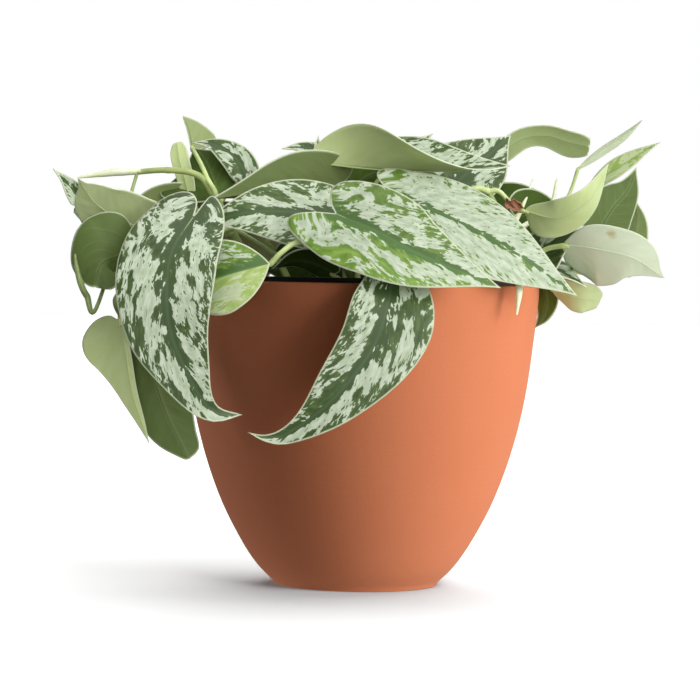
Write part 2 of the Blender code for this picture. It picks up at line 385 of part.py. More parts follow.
def blade_solid(leaf):
    broad = leaf["width"] >= BROAD_BLADE
    rows = OUTLINED_ROWS if "edges" in leaf else BLADE_ROWS[broad]
    points, faces, border = blade_surface(blade_grid(leaf, rows, BLADE_COLUMNS[broad]))
    normals = np.zeros_like(points)
    flat = np.cross(points[faces[:, 1]] - points[faces[:, 0]], points[faces[:, 2]] - points[faces[:, 0]])
    for corner in range(3):
        np.add.at(normals, faces[:, corner], flat)
    normals = unit(normals) * BLADE_THICKNESS / 2
    count = len(points)
    solid = [tuple(face) for face in faces]
    solid += [tuple(face[::-1] + count) for face in faces]
    for here, there in zip(border, border[1:] + border[:1]):
        solid += [(here, there, there + count), (here, there + count, here + count)]
    return np.vstack([points + normals, points - normals]), solid


def tube_solid(line, radii, sides):
    """A round tube along the points, closed by a flat fan at both ends."""
    line = np.asarray(line, float)
    tangent = unit(np.gradient(line, axis=0))
    normal = unit(np.cross(tangent[0], (0.31, 0.23, -0.92) if abs(tangent[0][2]) < 0.9 else (1.0, 0.1, 0.0)))
    points = []
    for centre, along, radius in zip(line, tangent, radii):
        normal = unit(normal - normal.dot(along) * along)
        other = np.cross(along, normal)
        for k in range(sides):
            angle = 2 * math.pi * k / sides
            points.append(centre + radius * (math.cos(angle) * normal + math.sin(angle) * other))
    rings = len(line)
    faces = []
    for ring in range(rings - 1):
        for k in range(sides):
            p, q = ring * sides + k, ring * sides + (k + 1) % sides
            faces += [(p, q, q + sides), (p, q + sides, p + sides)]
    points += [line[0], line[-1]]
    first, last = len(points) - 2, len(points) - 1
    for k in range(sides):
        following = (k + 1) % sides
        faces.append((first, following, k))
        faces.append((last, (rings - 1) * sides + k, (rings - 1) * sides + following))
    return np.array(points), faces


def lathe_solid(profile, steps):
    """The profile, radius and height, turned round the z axis; its ends lie on the axis."""
    points, rings = [], []
    for radius, height in profile:
        if radius == 0:
            rings.append([len(points)] * steps)
            points.append((0.0, 0.0, height))
            continue
        rings.append(list(range(len(points), len(points) + steps)))
        for k in range(steps):
            angle = 2 * math.pi * k / steps
            points.append((radius * math.cos(angle), radius * math.sin(angle), height))
    faces = []
    for low, high in zip(rings, rings[1:]):
        for k in range(steps):
            p, q, s, t = low[k], low[(k + 1) % steps], high[(k + 1) % steps], high[k]
            if p != q:
                faces.append((p, q, s))
            if s != t:
                faces.append((p, s, t))
    return np.array(points), faces


def volume_of(points, faces):
    corners = points[np.array(faces)]
    return np.einsum("ij,ij->i", corners[:, 0], np.cross(corners[:, 1], corners[:, 2])).sum() / 6


def add_object(name, solid, collection):
    points, faces = solid
    if volume_of(points, faces) < 0:
        faces = [face[::-1] for face in faces]
    mesh = bpy.data.meshes.new(name)
    mesh.from_pydata([tuple(p * MM) for p in points], [], [tuple(int(i) for i in f) for f in faces])
    mesh.update()
    obj = bpy.data.objects.new(name, mesh)
    collection.objects.link(obj)
    return obj


def apply_boolean(obj, operation, collection, solver):
    """Unites the object with the collection's objects, or cuts them from it, then removes them."""
    modifier = obj.modifiers.new("boolean", "BOOLEAN")
    modifier.operand_type = "COLLECTION"
    modifier.collection = collection
    modifier.operation = operation
    modifier.solver = solver
    bpy.context.view_layer.update()
    graph = bpy.context.evaluated_depsgraph_get()
    mesh = bpy.data.meshes.new_from_object(obj.evaluated_get(graph))
    obj.modifiers.clear()
    obj.data = mesh
    for helper in list(collection.objects):
        bpy.data.objects.remove(helper)
    bpy.data.collections.remove(collection)


def new_collection(name):
    collection = bpy.data.collections.new(name)
    bpy.context.scene.collection.children.link(collection)
    return collection


def paint(obj, name, colour, roughness):
    material = bpy.data.materials.new(name)
    material.use_nodes = True
    shader = material.node_tree.nodes["Principled BSDF"]
    shader.inputs["Base Color"].default_value = (*colour, 1.0)
    shader.inputs["Roughness"].default_value = roughness
    obj.data.materials.clear()
    obj.data.materials.append(material)


def tidy_mesh(obj):
    """Merges the points that a union left closer than a hundredth of a millimetre."""
    work = bmesh.new()
    work.from_mesh(obj.data)
    bmesh.ops.remove_doubles(work, verts=work.verts, dist=0.002 * MM)
    bmesh.ops.triangulate(work, faces=work.faces)
    work.to_mesh(obj.data)
    work.free()


def stem_line(name):
    """The stem's points from below the soil's face to its end, with the radius at each."""
    stem = STEMS[name]
    start = np.array(stem["line"][0], float)
    foot = start * (1, 1, 0) + (0, 0, SOIL_TOP - SOIL_HOLE_DEPTH + GAP)
    line = spline(stem["line"], np.linspace(0, 1, len(stem["line"]) + 2))
    line = np.vstack([foot, line])
    return line, np.linspace(stem["radius"][0], stem["radius"][1], len(line))


def nearest_on(line, point):
    """The point of the stem nearest to this one, so that a stalk always starts inside its stem."""
    fine = np.vstack([a + (b - a) * k / 12 for a, b in zip(line, line[1:]) for k in range(13)])
    return fine[np.argmin(np.linalg.norm(fine - point, axis=1))]


def stalk_thickness(leaf):
    return 0.8 + 0.014 * leaf["width"]


def stalk_line(leaf, line):
    points = [nearest_on(line, np.array(leaf["stalk"][0], float))]
    points += [np.array(p, float) for p in leaf["stalk"][1:]]
    rib = spline(leaf["rib"], np.array([0.0, 0.05]))
    along = unit(rib[1] - rib[0])
    up = unit(np.array(leaf["up"][0], float))
    up = unit(up - up.dot(along) * along)
    rib = rib - up * STALK_BELOW * stalk_thickness(leaf)
    points += [rib[0]]
    path = spline(points, np.linspace(0, 1, len(points) + 1))
    return np.vstack([path, rib[1:]])


def stalk_radii(leaf, count):
    thick = stalk_thickness(leaf)
    return np.concatenate([np.linspace(thick * 1.15, thick, count - 1), [0.7]])


def build_vine(name):
    line, radii = stem_line(name)
    parts = new_collection("parts of " + name)
    vine = add_object("vine_" + name, tube_solid(line, radii, STEM_SIDES), bpy.context.scene.collection)
    for leaf_name, leaf in LEAVES.items():
        if leaf["stem"] != name:
            continue
        path = stalk_line(leaf, line)
        add_object("stalk_" + leaf_name, tube_solid(path, stalk_radii(leaf, len(path)), STALK_SIDES), parts)
        add_object("blade_" + leaf_name, blade_solid(leaf), parts)
    for shoot_name, shoot in SHOOTS.items():
        if shoot["stem"] != name:
            continue
        points = [nearest_on(line, np.array(shoot["line"][0], float))] + list(shoot["line"][1:])
        t = np.linspace(0, 1, len(points) + 3)
        radius = np.interp(t, np.linspace(0, 1, len(shoot["radius"])), shoot["radius"])
        add_object(shoot_name, tube_solid(spline(points, t), radius, STALK_SIDES), parts)
    apply_boolean(vine, "UNION", parts, "MANIFOLD")
    tidy_mesh(vine)
    return vine


def cover_inner(height):
    radii = [r for r, _ in COVER_SIDE]
    heights = [z for _, z in COVER_SIDE]
    return float(np.interp(height, heights, radii)) - COVER_WALL


def build_cover_pot():
    profile = [(0, 0), (COVER_BASE_RADIUS - 1.5, 0)] + COVER_SIDE
    profile += [(COVER_RIM_RADIUS - 0.8, COVER_HEIGHT), (COVER_RIM_RADIUS - COVER_WALL + 0.8, COVER_HEIGHT)]
    for height in (142.2, 110.0, 74.0, 46.0, 20.0):
        profile.append((cover_inner(height), height))
    profile += [(cover_inner(12.0) - 2.0, COVER_FLOOR + 2.0), (cover_inner(12.0) - 8.0, COVER_FLOOR)]
    profile.append((0, COVER_FLOOR))
    return add_object("cover_pot", lathe_solid(profile, COVER_STEPS), bpy.context.scene.collection)


def nursery_outer(height):
    share = (height - NURSERY_BOTTOM) / (NURSERY_TOP - NURSERY_BOTTOM)
    return NURSERY_BASE_RADIUS + share * (NURSERY_TOP_RADIUS - NURSERY_BASE_RADIUS)


def build_nursery_pot():
    drop = NURSERY_TOP - NURSERY_RIM_DROP
    inner_foot = NURSERY_BOTTOM + NURSERY_WALL
    profile = [(0, NURSERY_BOTTOM), (NURSERY_BASE_RADIUS - 2, NURSERY_BOTTOM),
               (NURSERY_BASE_RADIUS, NURSERY_BOTTOM + 2), (nursery_outer(88.0), 88.0), (nursery_outer(drop), drop),
               (NURSERY_RIM_RADIUS, drop), (NURSERY_RIM_RADIUS, NURSERY_TOP - 0.6),
               (NURSERY_RIM_RADIUS - 0.6, NURSERY_TOP), (NURSERY_TOP_RADIUS - NURSERY_WALL + 0.6, NURSERY_TOP),
               (NURSERY_TOP_RADIUS - NURSERY_WALL, NURSERY_TOP - 0.6),
               (nursery_outer(88.0) - NURSERY_WALL, 88.0), (NURSERY_BASE_RADIUS - NURSERY_WALL, inner_foot + 2),
               (NURSERY_BASE_RADIUS - NURSERY_WALL - 2, inner_foot), (0, inner_foot)]
    pot = add_object("nursery_pot", lathe_solid(profile, NURSERY_STEPS), bpy.context.scene.collection)
    cutters = new_collection("drain hole cutters")
    for k in range(DRAIN_HOLES):
        angle = math.pi / 4 + k * 2 * math.pi / DRAIN_HOLES
        x, y = DRAIN_CIRCLE * math.cos(angle), DRAIN_CIRCLE * math.sin(angle)
        line = [(x, y, NURSERY_BOTTOM - 3), (x, y, inner_foot + 3)]
        add_object("drain_cutter", tube_solid(line, [DRAIN_RADIUS] * 2, 8), cutters)
    apply_boolean(pot, "DIFFERENCE", cutters, "MANIFOLD")
    tidy_mesh(pot)
    return pot


def build_soil():
    foot = NURSERY_BOTTOM + NURSERY_WALL + 0.4
    inset = NURSERY_WALL + 0.4
    profile = [(0, foot), (NURSERY_BASE_RADIUS - inset - 3, foot), (NURSERY_BASE_RADIUS - inset - 0.5, foot + 2.5),
               (nursery_outer(88.0) - inset, 88.0), (nursery_outer(SOIL_TOP) - inset, SOIL_TOP),
               (40.0, SOIL_TOP), (0, SOIL_TOP)]
    soil = add_object("soil", lathe_solid(profile, NURSERY_STEPS), bpy.context.scene.collection)
    cutters = new_collection("stem hole cutters")
    for stem in STEMS.values():
        x, y, _ = stem["line"][0]
        radius = stem["radius"][0] + GAP + 0.4
        line = [(x, y, SOIL_TOP - SOIL_HOLE_DEPTH), (x, y, SOIL_TOP + 3)]
        add_object("hole_cutter", tube_solid(line, [radius] * 2, 8), cutters)
    apply_boolean(soil, "DIFFERENCE", cutters, "MANIFOLD")
    tidy_mesh(soil)
    return soil


for old in list(bpy.data.objects):
    bpy.data.objects.remove(old)

paint(build_cover_pot(), "matt terracotta", (0.62, 0.24, 0.13), 0.85)
paint(build_nursery_pot(), "black polypropylene", (0.015, 0.015, 0.015), 0.45)
paint(build_soil(), "dark potting soil", (0.03, 0.02, 0.014), 0.95)
for stem_name in STEMS:
    paint(build_vine(stem_name), "satin pothos leaf " + stem_name, (0.16, 0.3, 0.13), 0.5)
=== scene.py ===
"""Looks of a satin pothos in a black nursery pot, standing in a terracotta cover pot. Lengths are in mm."""

import math
import random

import bpy
import numpy as np
from mathutils import Matrix


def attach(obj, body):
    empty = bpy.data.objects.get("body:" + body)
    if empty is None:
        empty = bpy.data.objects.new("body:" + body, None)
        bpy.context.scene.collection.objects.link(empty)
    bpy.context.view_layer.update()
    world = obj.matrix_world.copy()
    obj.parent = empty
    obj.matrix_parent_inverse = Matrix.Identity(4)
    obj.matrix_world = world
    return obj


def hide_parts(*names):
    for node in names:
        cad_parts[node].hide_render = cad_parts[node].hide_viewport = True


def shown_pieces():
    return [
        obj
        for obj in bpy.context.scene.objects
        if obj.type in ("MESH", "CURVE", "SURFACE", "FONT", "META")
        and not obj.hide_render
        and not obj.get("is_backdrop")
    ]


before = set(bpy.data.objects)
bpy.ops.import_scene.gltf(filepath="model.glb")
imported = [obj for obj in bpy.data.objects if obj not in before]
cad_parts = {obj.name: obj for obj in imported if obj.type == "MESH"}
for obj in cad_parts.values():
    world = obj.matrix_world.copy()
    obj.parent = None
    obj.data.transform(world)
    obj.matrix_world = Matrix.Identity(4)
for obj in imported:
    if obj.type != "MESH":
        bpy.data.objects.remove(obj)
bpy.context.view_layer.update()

MM = 0.001

# camera: level with the pot's rim, 1.3 m in front of it
CAMERA_PLACE = (-4.3, -1300.0, 143.0)
CAMERA_PITCH = 1.405
CAMERA_ROLL = 1.05
CAMERA_LENS = 140.45
SENSOR = 36.0

# lamps: what each lights, its way round from the front towards the right and its height, in degrees, its
# strength, and its softness in degrees
LIGHTS = [("plant", 52, 26, 1.65, 34), ("plant", 10, 20, 1.8, 60), ("plant", 10, 82, 1.25, 60),
          ("plant", -70, 10, 0.5, 60), ("plant", 160, 40, 1.2, 60), ("pots", 75, 25, 1.65, 34),
          ("pots", 60, 10, 2.25, 30), ("pots", -110, 0, 1.1, 30), ("paper", 150, 60, 13.8, 90),
          ("paper", 30, 40, 7.0, 30)]
FLOOR_GLOW = 0.11
BOUNCE_LEFT, BOUNCE_RIGHT = 0.14, 1.05
ROOM_LIGHT = 0.04

# cover pot
COVER_WALL = 4.0
COVER_FLOOR = 9.0
COVER_SIDE = [(39.5, 1.5), (47.0, 9.0), (54.5, 20.0), (63.5, 37.0), (70.5, 55.0), (76.0, 74.0), (80.0, 94.0),
              (83.0, 118.0), (84.8, 136.0), (85.0, 142.2)]
COVER_STEPS = 144

# nursery pot and soil
NURSERY_BOTTOM = 29.0
NURSERY_TOP = 145.4
NURSERY_BASE_RADIUS = 55.3
NURSERY_TOP_RADIUS = 74.5
NURSERY_RIM_RADIUS = 77.0
NURSERY_RIM_DROP = 7.0
NURSERY_WALL = 1.2
NURSERY_STEPS = 112
DRAIN_HOLES = 4
DRAIN_RADIUS = 4.0
DRAIN_CIRCLE = 34.0
SOIL_TOP = 134.0

# leaves
BLADE_THICKNESS = 0.55
BROAD_BLADE = 20.0  # a blade at least this wide has the fine grid of rows and columns
BROAD_GRID, SLIM_GRID = (46, 28), (30, 16)
FULL_WIDTH = 40.0  # a narrower blade has less relief, in proportion
SLIM_WIDTH = 36.0  # a narrower blade has narrower bands and flecks, in proportion
VEIN_SPACING = 6.5
VEIN_BEND = 0.018  # how the side veins bend on towards the tip
LOBE_FAN = 14.0
VEIN_RELIEF = 0.16
RELIEF_FADE = 6.0  # the relief fades out over this way from the midrib and from the margin
FACET_BULGE = 0.26  # the fine blade would bulge this far past the CAD blade's facets, so it is set inward
MARGIN_WAVE, WAVE_LENGTH = 0.3, 9.0
RIPPLE_STEP = 1.7  # sets the waves of one leaf off from those of the next
MARGIN_COLOUR = "#DCE4C4"
LIGHT_THROUGH = 0.22
LEAF_APART = 17.0  # sets the flecks of one leaf off from those of the next
BRACT_PLACE = (71.0, -27.0, 180.5)
BRACT_LENGTH = 8.5

# unit leaf: along the midrib from stalk to tip, and half width; the lobes reach back past the stalk
HEART = [(0.0, 0.0), (-0.055, 0.09), (-0.095, 0.22), (-0.075, 0.36), (0.03, 0.465), (0.19, 0.5),
         (0.38, 0.465), (0.56, 0.36), (0.72, 0.225), (0.85, 0.11), (0.94, 0.04), (1.0, 0.0)]
YOUNG = [(0.0, 0.0), (0.03, 0.08), (0.09, 0.2), (0.18, 0.33), (0.29, 0.43), (0.42, 0.49),
         (0.55, 0.46), (0.68, 0.36), (0.8, 0.22), (0.9, 0.1), (0.96, 0.035), (1.0, 0.0)]
BLUNT = [(0.0, 0.0), (-0.055, 0.09), (-0.095, 0.22), (-0.075, 0.36), (0.03, 0.465), (0.2, 0.5),
         (0.4, 0.49), (0.6, 0.44), (0.76, 0.34), (0.86, 0.2), (0.92, 0.07), (1.0, 0.0)]
SHAPES = {"heart": HEART, "young": YOUNG, "blunt": BLUNT}

# stem: points from below the soil's face to its end, with the radius at both ends
STEMS = {
    "left": dict(line=[(-46, -12, 138), (-56, -18, 158), (-69, -22, 182), (-77, -25, 192), (-91, -26, 194),
        (-105, -24, 193)], radius=(1.9, 1.3)),
    "front": dict(line=[(-6, -26, 138), (-4, -32, 152), (-3, -36, 166), (-6, -40, 176)], radius=(2, 1.5)),
    "right": dict(line=[(50, -6, 138), (62, -14, 150), (69, -18, 163), (67, -20, 170), (63, -22, 179),
        (59, -22, 187)], radius=(1.9, 1.4)),
    "centre": dict(line=[(0, 22, 138), (-4, 18, 156), (-8, 6, 178), (-14, -2, 190)], radius=(2, 1.4)),
    "far_right": dict(line=[(46, 22, 138), (60, 26, 154), (76, 29, 168), (88, 32, 178)], radius=(1.9, 1.3)),
    "back_left": dict(line=[(-32, 36, 138), (-42, 44, 156), (-56, 54, 176)], radius=(1.9, 1.4)),
    "back_right": dict(line=[(28, 42, 138), (36, 50, 156), (48, 58, 172)], radius=(1.9, 1.4)),
    "back_top": dict(line=[(-6, 44, 138), (-8, 44, 158), (-10, 42, 180)], radius=(1.9, 1.4)),
}

# each leaf: the stem that carries it, its stalk from the stem, the midrib from the stalk to the tip, the way
# its upper side faces at both ends, its width, then how far the two halves fold up and arch over, in degrees;
# lobes and share stretch the lobes and the widths of the halves, and edges gives the outline of each half as
# a share of the length and the distance from the midrib
PLAIN_LEAF = dict(fold=(10, 10), arch=(10, 10), fold_tip=(0, 0), lobes=(1, 1), share=(0.5, 0.5),
                  shape="heart")
LEAVES = {
    "a": dict(stem="left", stalk=[(-62, -18, 168), (-70, -38, 163), (-77, -56, 164)],
        rib=[(-76, -62, 172), (-84, -79, 157), (-86, -88, 141), (-84, -89, 120), (-74, -86, 97),
             (-65, -81, 85), (-52, -76, 83)],
        up=[(-0.2, -0.9, 0.4), (0.1, -1, 0.1)], width=48, fold=(6, 10), arch=(14, 22),
        edges=([(0, 0), (-0.08, 0.5), (-0.13, 1.5), (-0.125, 5), (-0.08, 10), (-0.02, 14), (0.07, 18),
                (0.17, 20.5), (0.3, 21.5), (0.42, 20), (0.55, 17), (0.7, 11), (0.8, 6), (0.9, 2.5), (1, 0)],
               [(0, 0), (-0.07, 2), (-0.115, 6), (-0.12, 11), (-0.09, 16), (-0.03, 20), (0.06, 22),
                (0.18, 23.5), (0.36, 23.5), (0.55, 19), (0.7, 13), (0.8, 9), (0.9, 4.5), (1, 0)])),
    "g": dict(stem="left", stalk=[(-60, -18, 166), (-80, -24, 162), (-94, -28, 164)],
        rib=[(-105, -36, 155), (-113, -44, 153), (-119, -50, 149), (-121, -53, 139)],
        up=[(0.2, 0.9, 0.3), (0.3, 0.9, -0.1)], width=37, fold=(10, 14), arch=(-20, -14),
        edges=([(0, 0), (-0.05, 4), (-0.04, 8), (0, 12), (0.12, 18.5), (0.33, 22.5), (0.5, 22), (0.62, 18.5),
                (0.73, 15.5), (0.84, 11.5), (0.93, 7.5), (1, 3), (1, 0)],
               [(0, 0), (-0.03, 3), (0.02, 8), (0.15, 11), (0.4, 12), (0.65, 12), (0.85, 11), (0.97, 8.5),
                (1.03, 4), (1, 0)])),
    "h": dict(stem="left", stalk=[(-56, -18, 158), (-82, -32, 156), (-108, -38, 140)],
        rib=[(-110, -38, 123), (-107, -46, 108), (-103, -52, 90), (-95, -56, 68)],
        up=[(0.3, 0.9, 0.4), (0.2, 0.9, 0.1)], width=38, fold=(8, 20), arch=(10, 0),
        edges=([(0, 0), (-0.1, 6), (-0.13, 13), (-0.1, 19), (-0.02, 23.3), (0.08, 23.6), (0.2, 20.8),
                (0.35, 15), (0.52, 9), (0.72, 4.5), (0.9, 1.5), (1, 0)],
               [(0, 0), (0, 1.2), (0.1, 2), (0.3, 2.4), (0.5, 2.4), (0.7, 2), (0.85, 1.3), (1, 0)])),
    "h2": dict(stem="left", stalk=[(-54, -17, 154), (-80, -26, 152), (-98, -30, 140)],
        rib=[(-104, -34, 125), (-97, -42, 106), (-88, -48, 82), (-77, -50, 61)],
        up=[(0.1, 0.9, 0.4), (0, 0.9, 0.1)], width=34,
        edges=([(0, 0), (-0.05, 3), (-0.03, 7), (0.05, 11), (0.2, 13.5), (0.4, 15), (0.6, 14.5),
                (0.745, 12.5), (0.85, 9.5), (0.94, 5), (0.99, 2), (1, 0)],
               [(0, 0), (-0.06, 4), (-0.05, 9), (0.02, 13), (0.15, 15), (0.35, 16), (0.55, 14.5), (0.7, 12),
                (0.77, 10.8), (0.855, 8.9), (0.95, 7.1), (0.985, 4.2), (1, 0)])),
    "i": dict(stem="left", stalk=[(-66, -18, 176), (-76, -19, 174), (-88, -20, 169)],
        rib=[(-98, -22, 165), (-110, -32, 170), (-122, -38, 177), (-131, -42, 189)],
        up=[(0.2, 0.9, 0.4), (0.4, 0.8, 0.4)], width=33, arch=(10, 14), shape="blunt"),
    "j": dict(stem="left", stalk=[(-64, -18, 172), (-88, -12, 166), (-112, -12, 166)],
        rib=[(-124, -16, 172), (-132, -20, 180), (-139, -20, 188), (-145, -18, 194)],
        up=[(-0.7, -0.2, 0.6), (-0.5, -0.3, 0.8)], width=14, fold=(50, 20)),
    "k": dict(stem="left", stalk=[(-62, -18, 168), (-66, -12, 174)],
        rib=[(-76, -6, 176), (-88, -6, 178), (-99, -7, 176), (-109, -8, 170)],
        up=[(0, 0.9, 0.4)] * 2, width=24, shape="blunt"),
    "l": dict(stem="left", stalk=[(-64, -18, 172), (-72, -13, 172)],
        rib=[(-81, -11, 180), (-83, -11, 189), (-86, -9, 199), (-88, -5, 208)],
        up=[(0.3, 0.9, 0.1), (0.3, 0.9, -0.2)], width=10, fold=(16, 16), arch=(20, 20),
        edges=([(0, 0), (0, 1.5), (0.1, 3.2), (0.3, 4.2), (0.6, 4.5), (0.82, 4.4), (0.95, 3.2), (1.01, 1.5),
                (1, 0)],
               [(0, 0), (0, 1.5), (0.1, 3.2), (0.3, 4.2), (0.6, 4.5), (0.82, 4.4), (0.95, 3.2), (1.01, 1.5),
                (1, 0)])),
    "m": dict(stem="left", stalk=[(-68, -18, 181), (-69, -24, 185), (-72, -25, 190), (-75, -20, 196),
             (-78, -10, 201)],
        rib=[(-81, 3, 205), (-82, 8, 211), (-84, 13, 217), (-87, 18, 222)],
        up=[(0.2, 0.8, -0.5), (0.2, 0.8, -0.4)], width=26, arch=(14, 14), shape="young",
        edges=([(0, 0), (-0.02, 6), (0.05, 10), (0.2, 12), (0.4, 9.5), (0.6, 6.5), (0.8, 3.2), (1, 0)],
               [(0, 0), (0.02, 0.6), (0.1, 1), (0.3, 1.4), (0.5, 1.4), (0.7, 1.2), (0.85, 0.8), (1, 0)])),
    "n": dict(stem="left", stalk=[(-67, -18, 179), (-61, -13, 187)],
        rib=[(-54, -16, 193), (-60, -13, 201), (-70, -8, 207), (-81, -4, 208)],
        up=[(-0.3, -0.7, 0.5), (0.1, -0.7, 0.7)], width=15),
    "n2": dict(stem="left", stalk=[(-66, -18, 176), (-66, -19, 178)],
        rib=[(-67, -18, 181), (-70, -12, 189), (-74, -5, 198), (-80, 0, 206)],
        up=[(0.1, 0.9, -0.3), (0.1, 0.9, -0.4)], width=42, arch=(14, 14), share=(0.36, 0.62), shape="young"),
    "b": dict(stem="front", stalk=[(-5, -31, 150), (-3, -54, 153), (8, -74, 155)],
        rib=[(14, -80, 151), (12, -93, 133), (5, -97, 113), (-12, -98, 91), (-30, -95, 77), (-40, -93, 74),
             (-49, -91, 76)],
        up=[(0.1, -0.9, 0.5), (0.1, -1, 0.2)], width=42, fold=(10, 14), arch=(20, 20),
        edges=([(0, 0), (-0.03, 4), (-0.02, 9), (0.03, 13), (0.09, 17), (0.18, 21), (0.28, 22), (0.45, 17.5),
                (0.61, 12.5), (0.78, 7), (0.87, 4), (0.94, 1.5), (1, 0)],
               [(0, 0), (-0.03, 2.5), (-0.02, 6), (0.04, 10), (0.1, 13), (0.18, 16), (0.28, 16.5),
                (0.45, 15), (0.61, 11.5), (0.78, 4.5), (0.87, 2.5), (0.94, 1), (1, 0)])),
    "c": dict(stem="front", stalk=[(-4, -37, 169), (-3, -52, 170), (-6, -64, 168)],
        rib=[(-12, -72, 174), (7, -84, 166), (26, -90, 156), (62, -88, 142)],
        up=[(-0.1, -0.8, 0.6), (0.1, -0.9, 0.5)], width=47, fold=(10, 6), arch=(15, 20), lobes=(1.2, 2.2)),
    "e": dict(stem="front", stalk=[(-3, -36, 167), (-5, -39, 172)],
        rib=[(-10, -40, 173), (-33, -46, 175), (-54, -49, 174), (-75, -46, 168)],
        up=[(0, -0.9, 0.4), (-0.1, -0.9, 0.3)], width=35, fold=(8, 8), arch=(18, 18)),
    "f": dict(stem="front", stalk=[(-5, -30, 146), (-14, -58, 160), (-28, -70, 161), (-36, -72, 156)],
        rib=[(-41, -71, 151), (-57, -71, 147), (-73, -66, 142), (-88, -58, 137)],
        up=[(0.1, -0.9, 0.3), (-0.2, -0.9, 0.2)], width=38, fold=(14, 10), arch=(14, 14), share=(0.51, 0.45),
             shape="young"),
    "d": dict(stem="right", stalk=[(59, -22, 187), (52, -25, 188), (38, -28, 181), (22, -34, 180)],
        rib=[(15, -44, 183), (42, -56, 173), (70, -62, 158), (99, -52, 139)],
        up=[(0.1, -0.8, 0.7), (0.3, -0.9, 0.3)], width=40, fold=(8, 8), arch=(15, 15), lobes=(1.6, 0.4),
             share=(0.55, 0.72)),
    "w": dict(stem="right", stalk=[(59, -22, 187), (64, -23, 187), (69, -24, 182), (73, -25, 179)],
        rib=[(76, -28, 178), (90, -40, 175), (104, -46, 183), (113, -42, 200)],
        up=[(-0.1, 0.95, 0.3), (-0.4, 0.8, 0.2)], width=22, fold=(14, 18), arch=(14, 14),
        edges=([(0, 0), (0, 1.5), (0.03, 5.5), (0.08, 9.2), (0.18, 10.5), (0.33, 9.9), (0.48, 8.8),
                (0.6, 6.8), (0.72, 4.4), (0.82, 2.8), (0.92, 1.4), (1, 0)],
               [(0, 0), (0.02, 2), (0.08, 4.3), (0.18, 6.5), (0.32, 8.4), (0.5, 8.2), (0.68, 6), (0.82, 3.5),
                (0.92, 1.6), (1, 0)])),
    "w2": dict(stem="right", stalk=[(67, -17, 158), (74, -10, 158)],
        rib=[(80, -6, 157), (87, -12, 160), (94, -18, 165), (101, -23, 170)],
        up=[(-0.5, -0.8, 0.5)] * 2, width=25, share=(0.5, 0.7)),
    "w3": dict(stem="right", stalk=[(68, -18, 166), (70, -15, 172)],
        rib=[(72, -13, 176), (80, -9, 178), (88, -6, 178), (97, -4, 175)],
        up=[(0, 0.9, 0.3)] * 2, width=24),
    "z": dict(stem="right", stalk=[(68, -18, 161), (80, -19, 158), (88, -23, 161)],
        rib=[(95, -27, 163), (109, -35, 161), (126, -38, 157), (141, -32, 148)],
        up=[(-0.1, 0.8, 0.6), (0.2, 0.9, 0.4)], width=35, fold=(12, 12),
        edges=([(0, 0), (-0.04, 4), (-0.06, 9), (-0.05, 13.5), (0.02, 18), (0.14, 21.5), (0.27, 22),
                (0.41, 20), (0.57, 16.5), (0.73, 10.8), (0.88, 4.2), (1, 0)],
               [(0, 0), (0, 1.2), (0.06, 4.5), (0.14, 8.3), (0.24, 11.5), (0.36, 12.8), (0.5, 12.4),
                (0.62, 11.5), (0.73, 9.3), (0.83, 5.8), (0.91, 2.4), (1, 0)])),
    "aa": dict(stem="right", stalk=[(64, -16, 154), (78, -12, 157)],
        rib=[(86, -12, 152), (93, -18, 150), (99, -22, 147), (106, -22, 143)],
        up=[(0, -0.5, 0.9), (0.3, -0.4, 0.9)], width=17, fold=(20, 20)),
    "bb": dict(stem="right", stalk=[(60, -13, 148), (80, -8, 150)],
        rib=[(92, -8, 142), (99, -15, 139), (106, -17, 138), (113, -14, 137)],
        up=[(0, 0.8, 0.6), (0.2, 0.9, 0.4)], width=17, shape="blunt",
        edges=([(0, 0), (-0.08, 3), (0.04, 6), (0.25, 7.8), (0.5, 8.6), (0.75, 8.2), (0.93, 6.2), (1.03, 3),
                (1, 0)],
               [(0, 0), (-0.1, 3), (0.02, 6), (0.22, 8), (0.5, 8.5), (0.75, 7.5), (0.94, 5), (1.03, 2.5),
                (1, 0)])),
    "o": dict(stem="centre", stalk=[(-12, 0, 187)],
        rib=[(-12, -4, 188), (-34, -14, 188), (-54, -24, 184), (-70, -31, 181)],
        up=[(0, 0.4, 0.9)] * 2, width=38, fold=(48, 5), share=(0.5, 0.35)),
    "r": dict(stem="centre", stalk=[(-12, 0, 188), (-20, -4, 194)],
        rib=[(-24, -8, 200), (3, -15, 197), (36, -23, 196), (69, -23, 199)],
        up=[(0, 0.3, 0.95), (0, -0.3, 0.95)], width=44, fold=(66, 92), arch=(8, 14), fold_tip=(-0.25, -1.05),
        edges=([(0, 0), (0.01, 3.5), (0.03, 7.5), (0.06, 11), (0.11, 14.5), (0.18, 17.5), (0.28, 20.4),
                (0.42, 21.6), (0.55, 20.2), (0.68, 15.8), (0.8, 9.7), (0.9, 4.4), (1, 0)],
               [(0, 0), (-0.01, 5), (0.015, 9.4), (0.05, 13), (0.1, 16.5), (0.17, 20), (0.28, 23),
                (0.42, 24.6), (0.55, 23.1), (0.68, 18), (0.8, 11), (0.9, 5), (1, 0)])),
    "r2": dict(stem="centre", stalk=[(-6, 12, 168), (6, 6, 190)],
        rib=[(14, 8, 200), (22, 14, 208), (30, 20, 213), (34, 24, 216)],
        up=[(0, -0.8, 0.6)] * 2, width=12),
    "p": dict(stem="back_top", stalk=[(-9, 43, 176), (-12, 52, 194)],
        rib=[(-16, 58, 207), (-24, 60, 209), (-32, 60, 210), (-40, 58, 209)],
        up=[(0, -0.7, 0.7)] * 2, width=11, fold=(8, 8)),
    "q": dict(stem="back_top", stalk=[(-9, 43, 178), (-16, 46, 192)],
        rib=[(-20, 50, 200), (-21, 52, 206), (-22, 54, 211), (-22, 56, 216)],
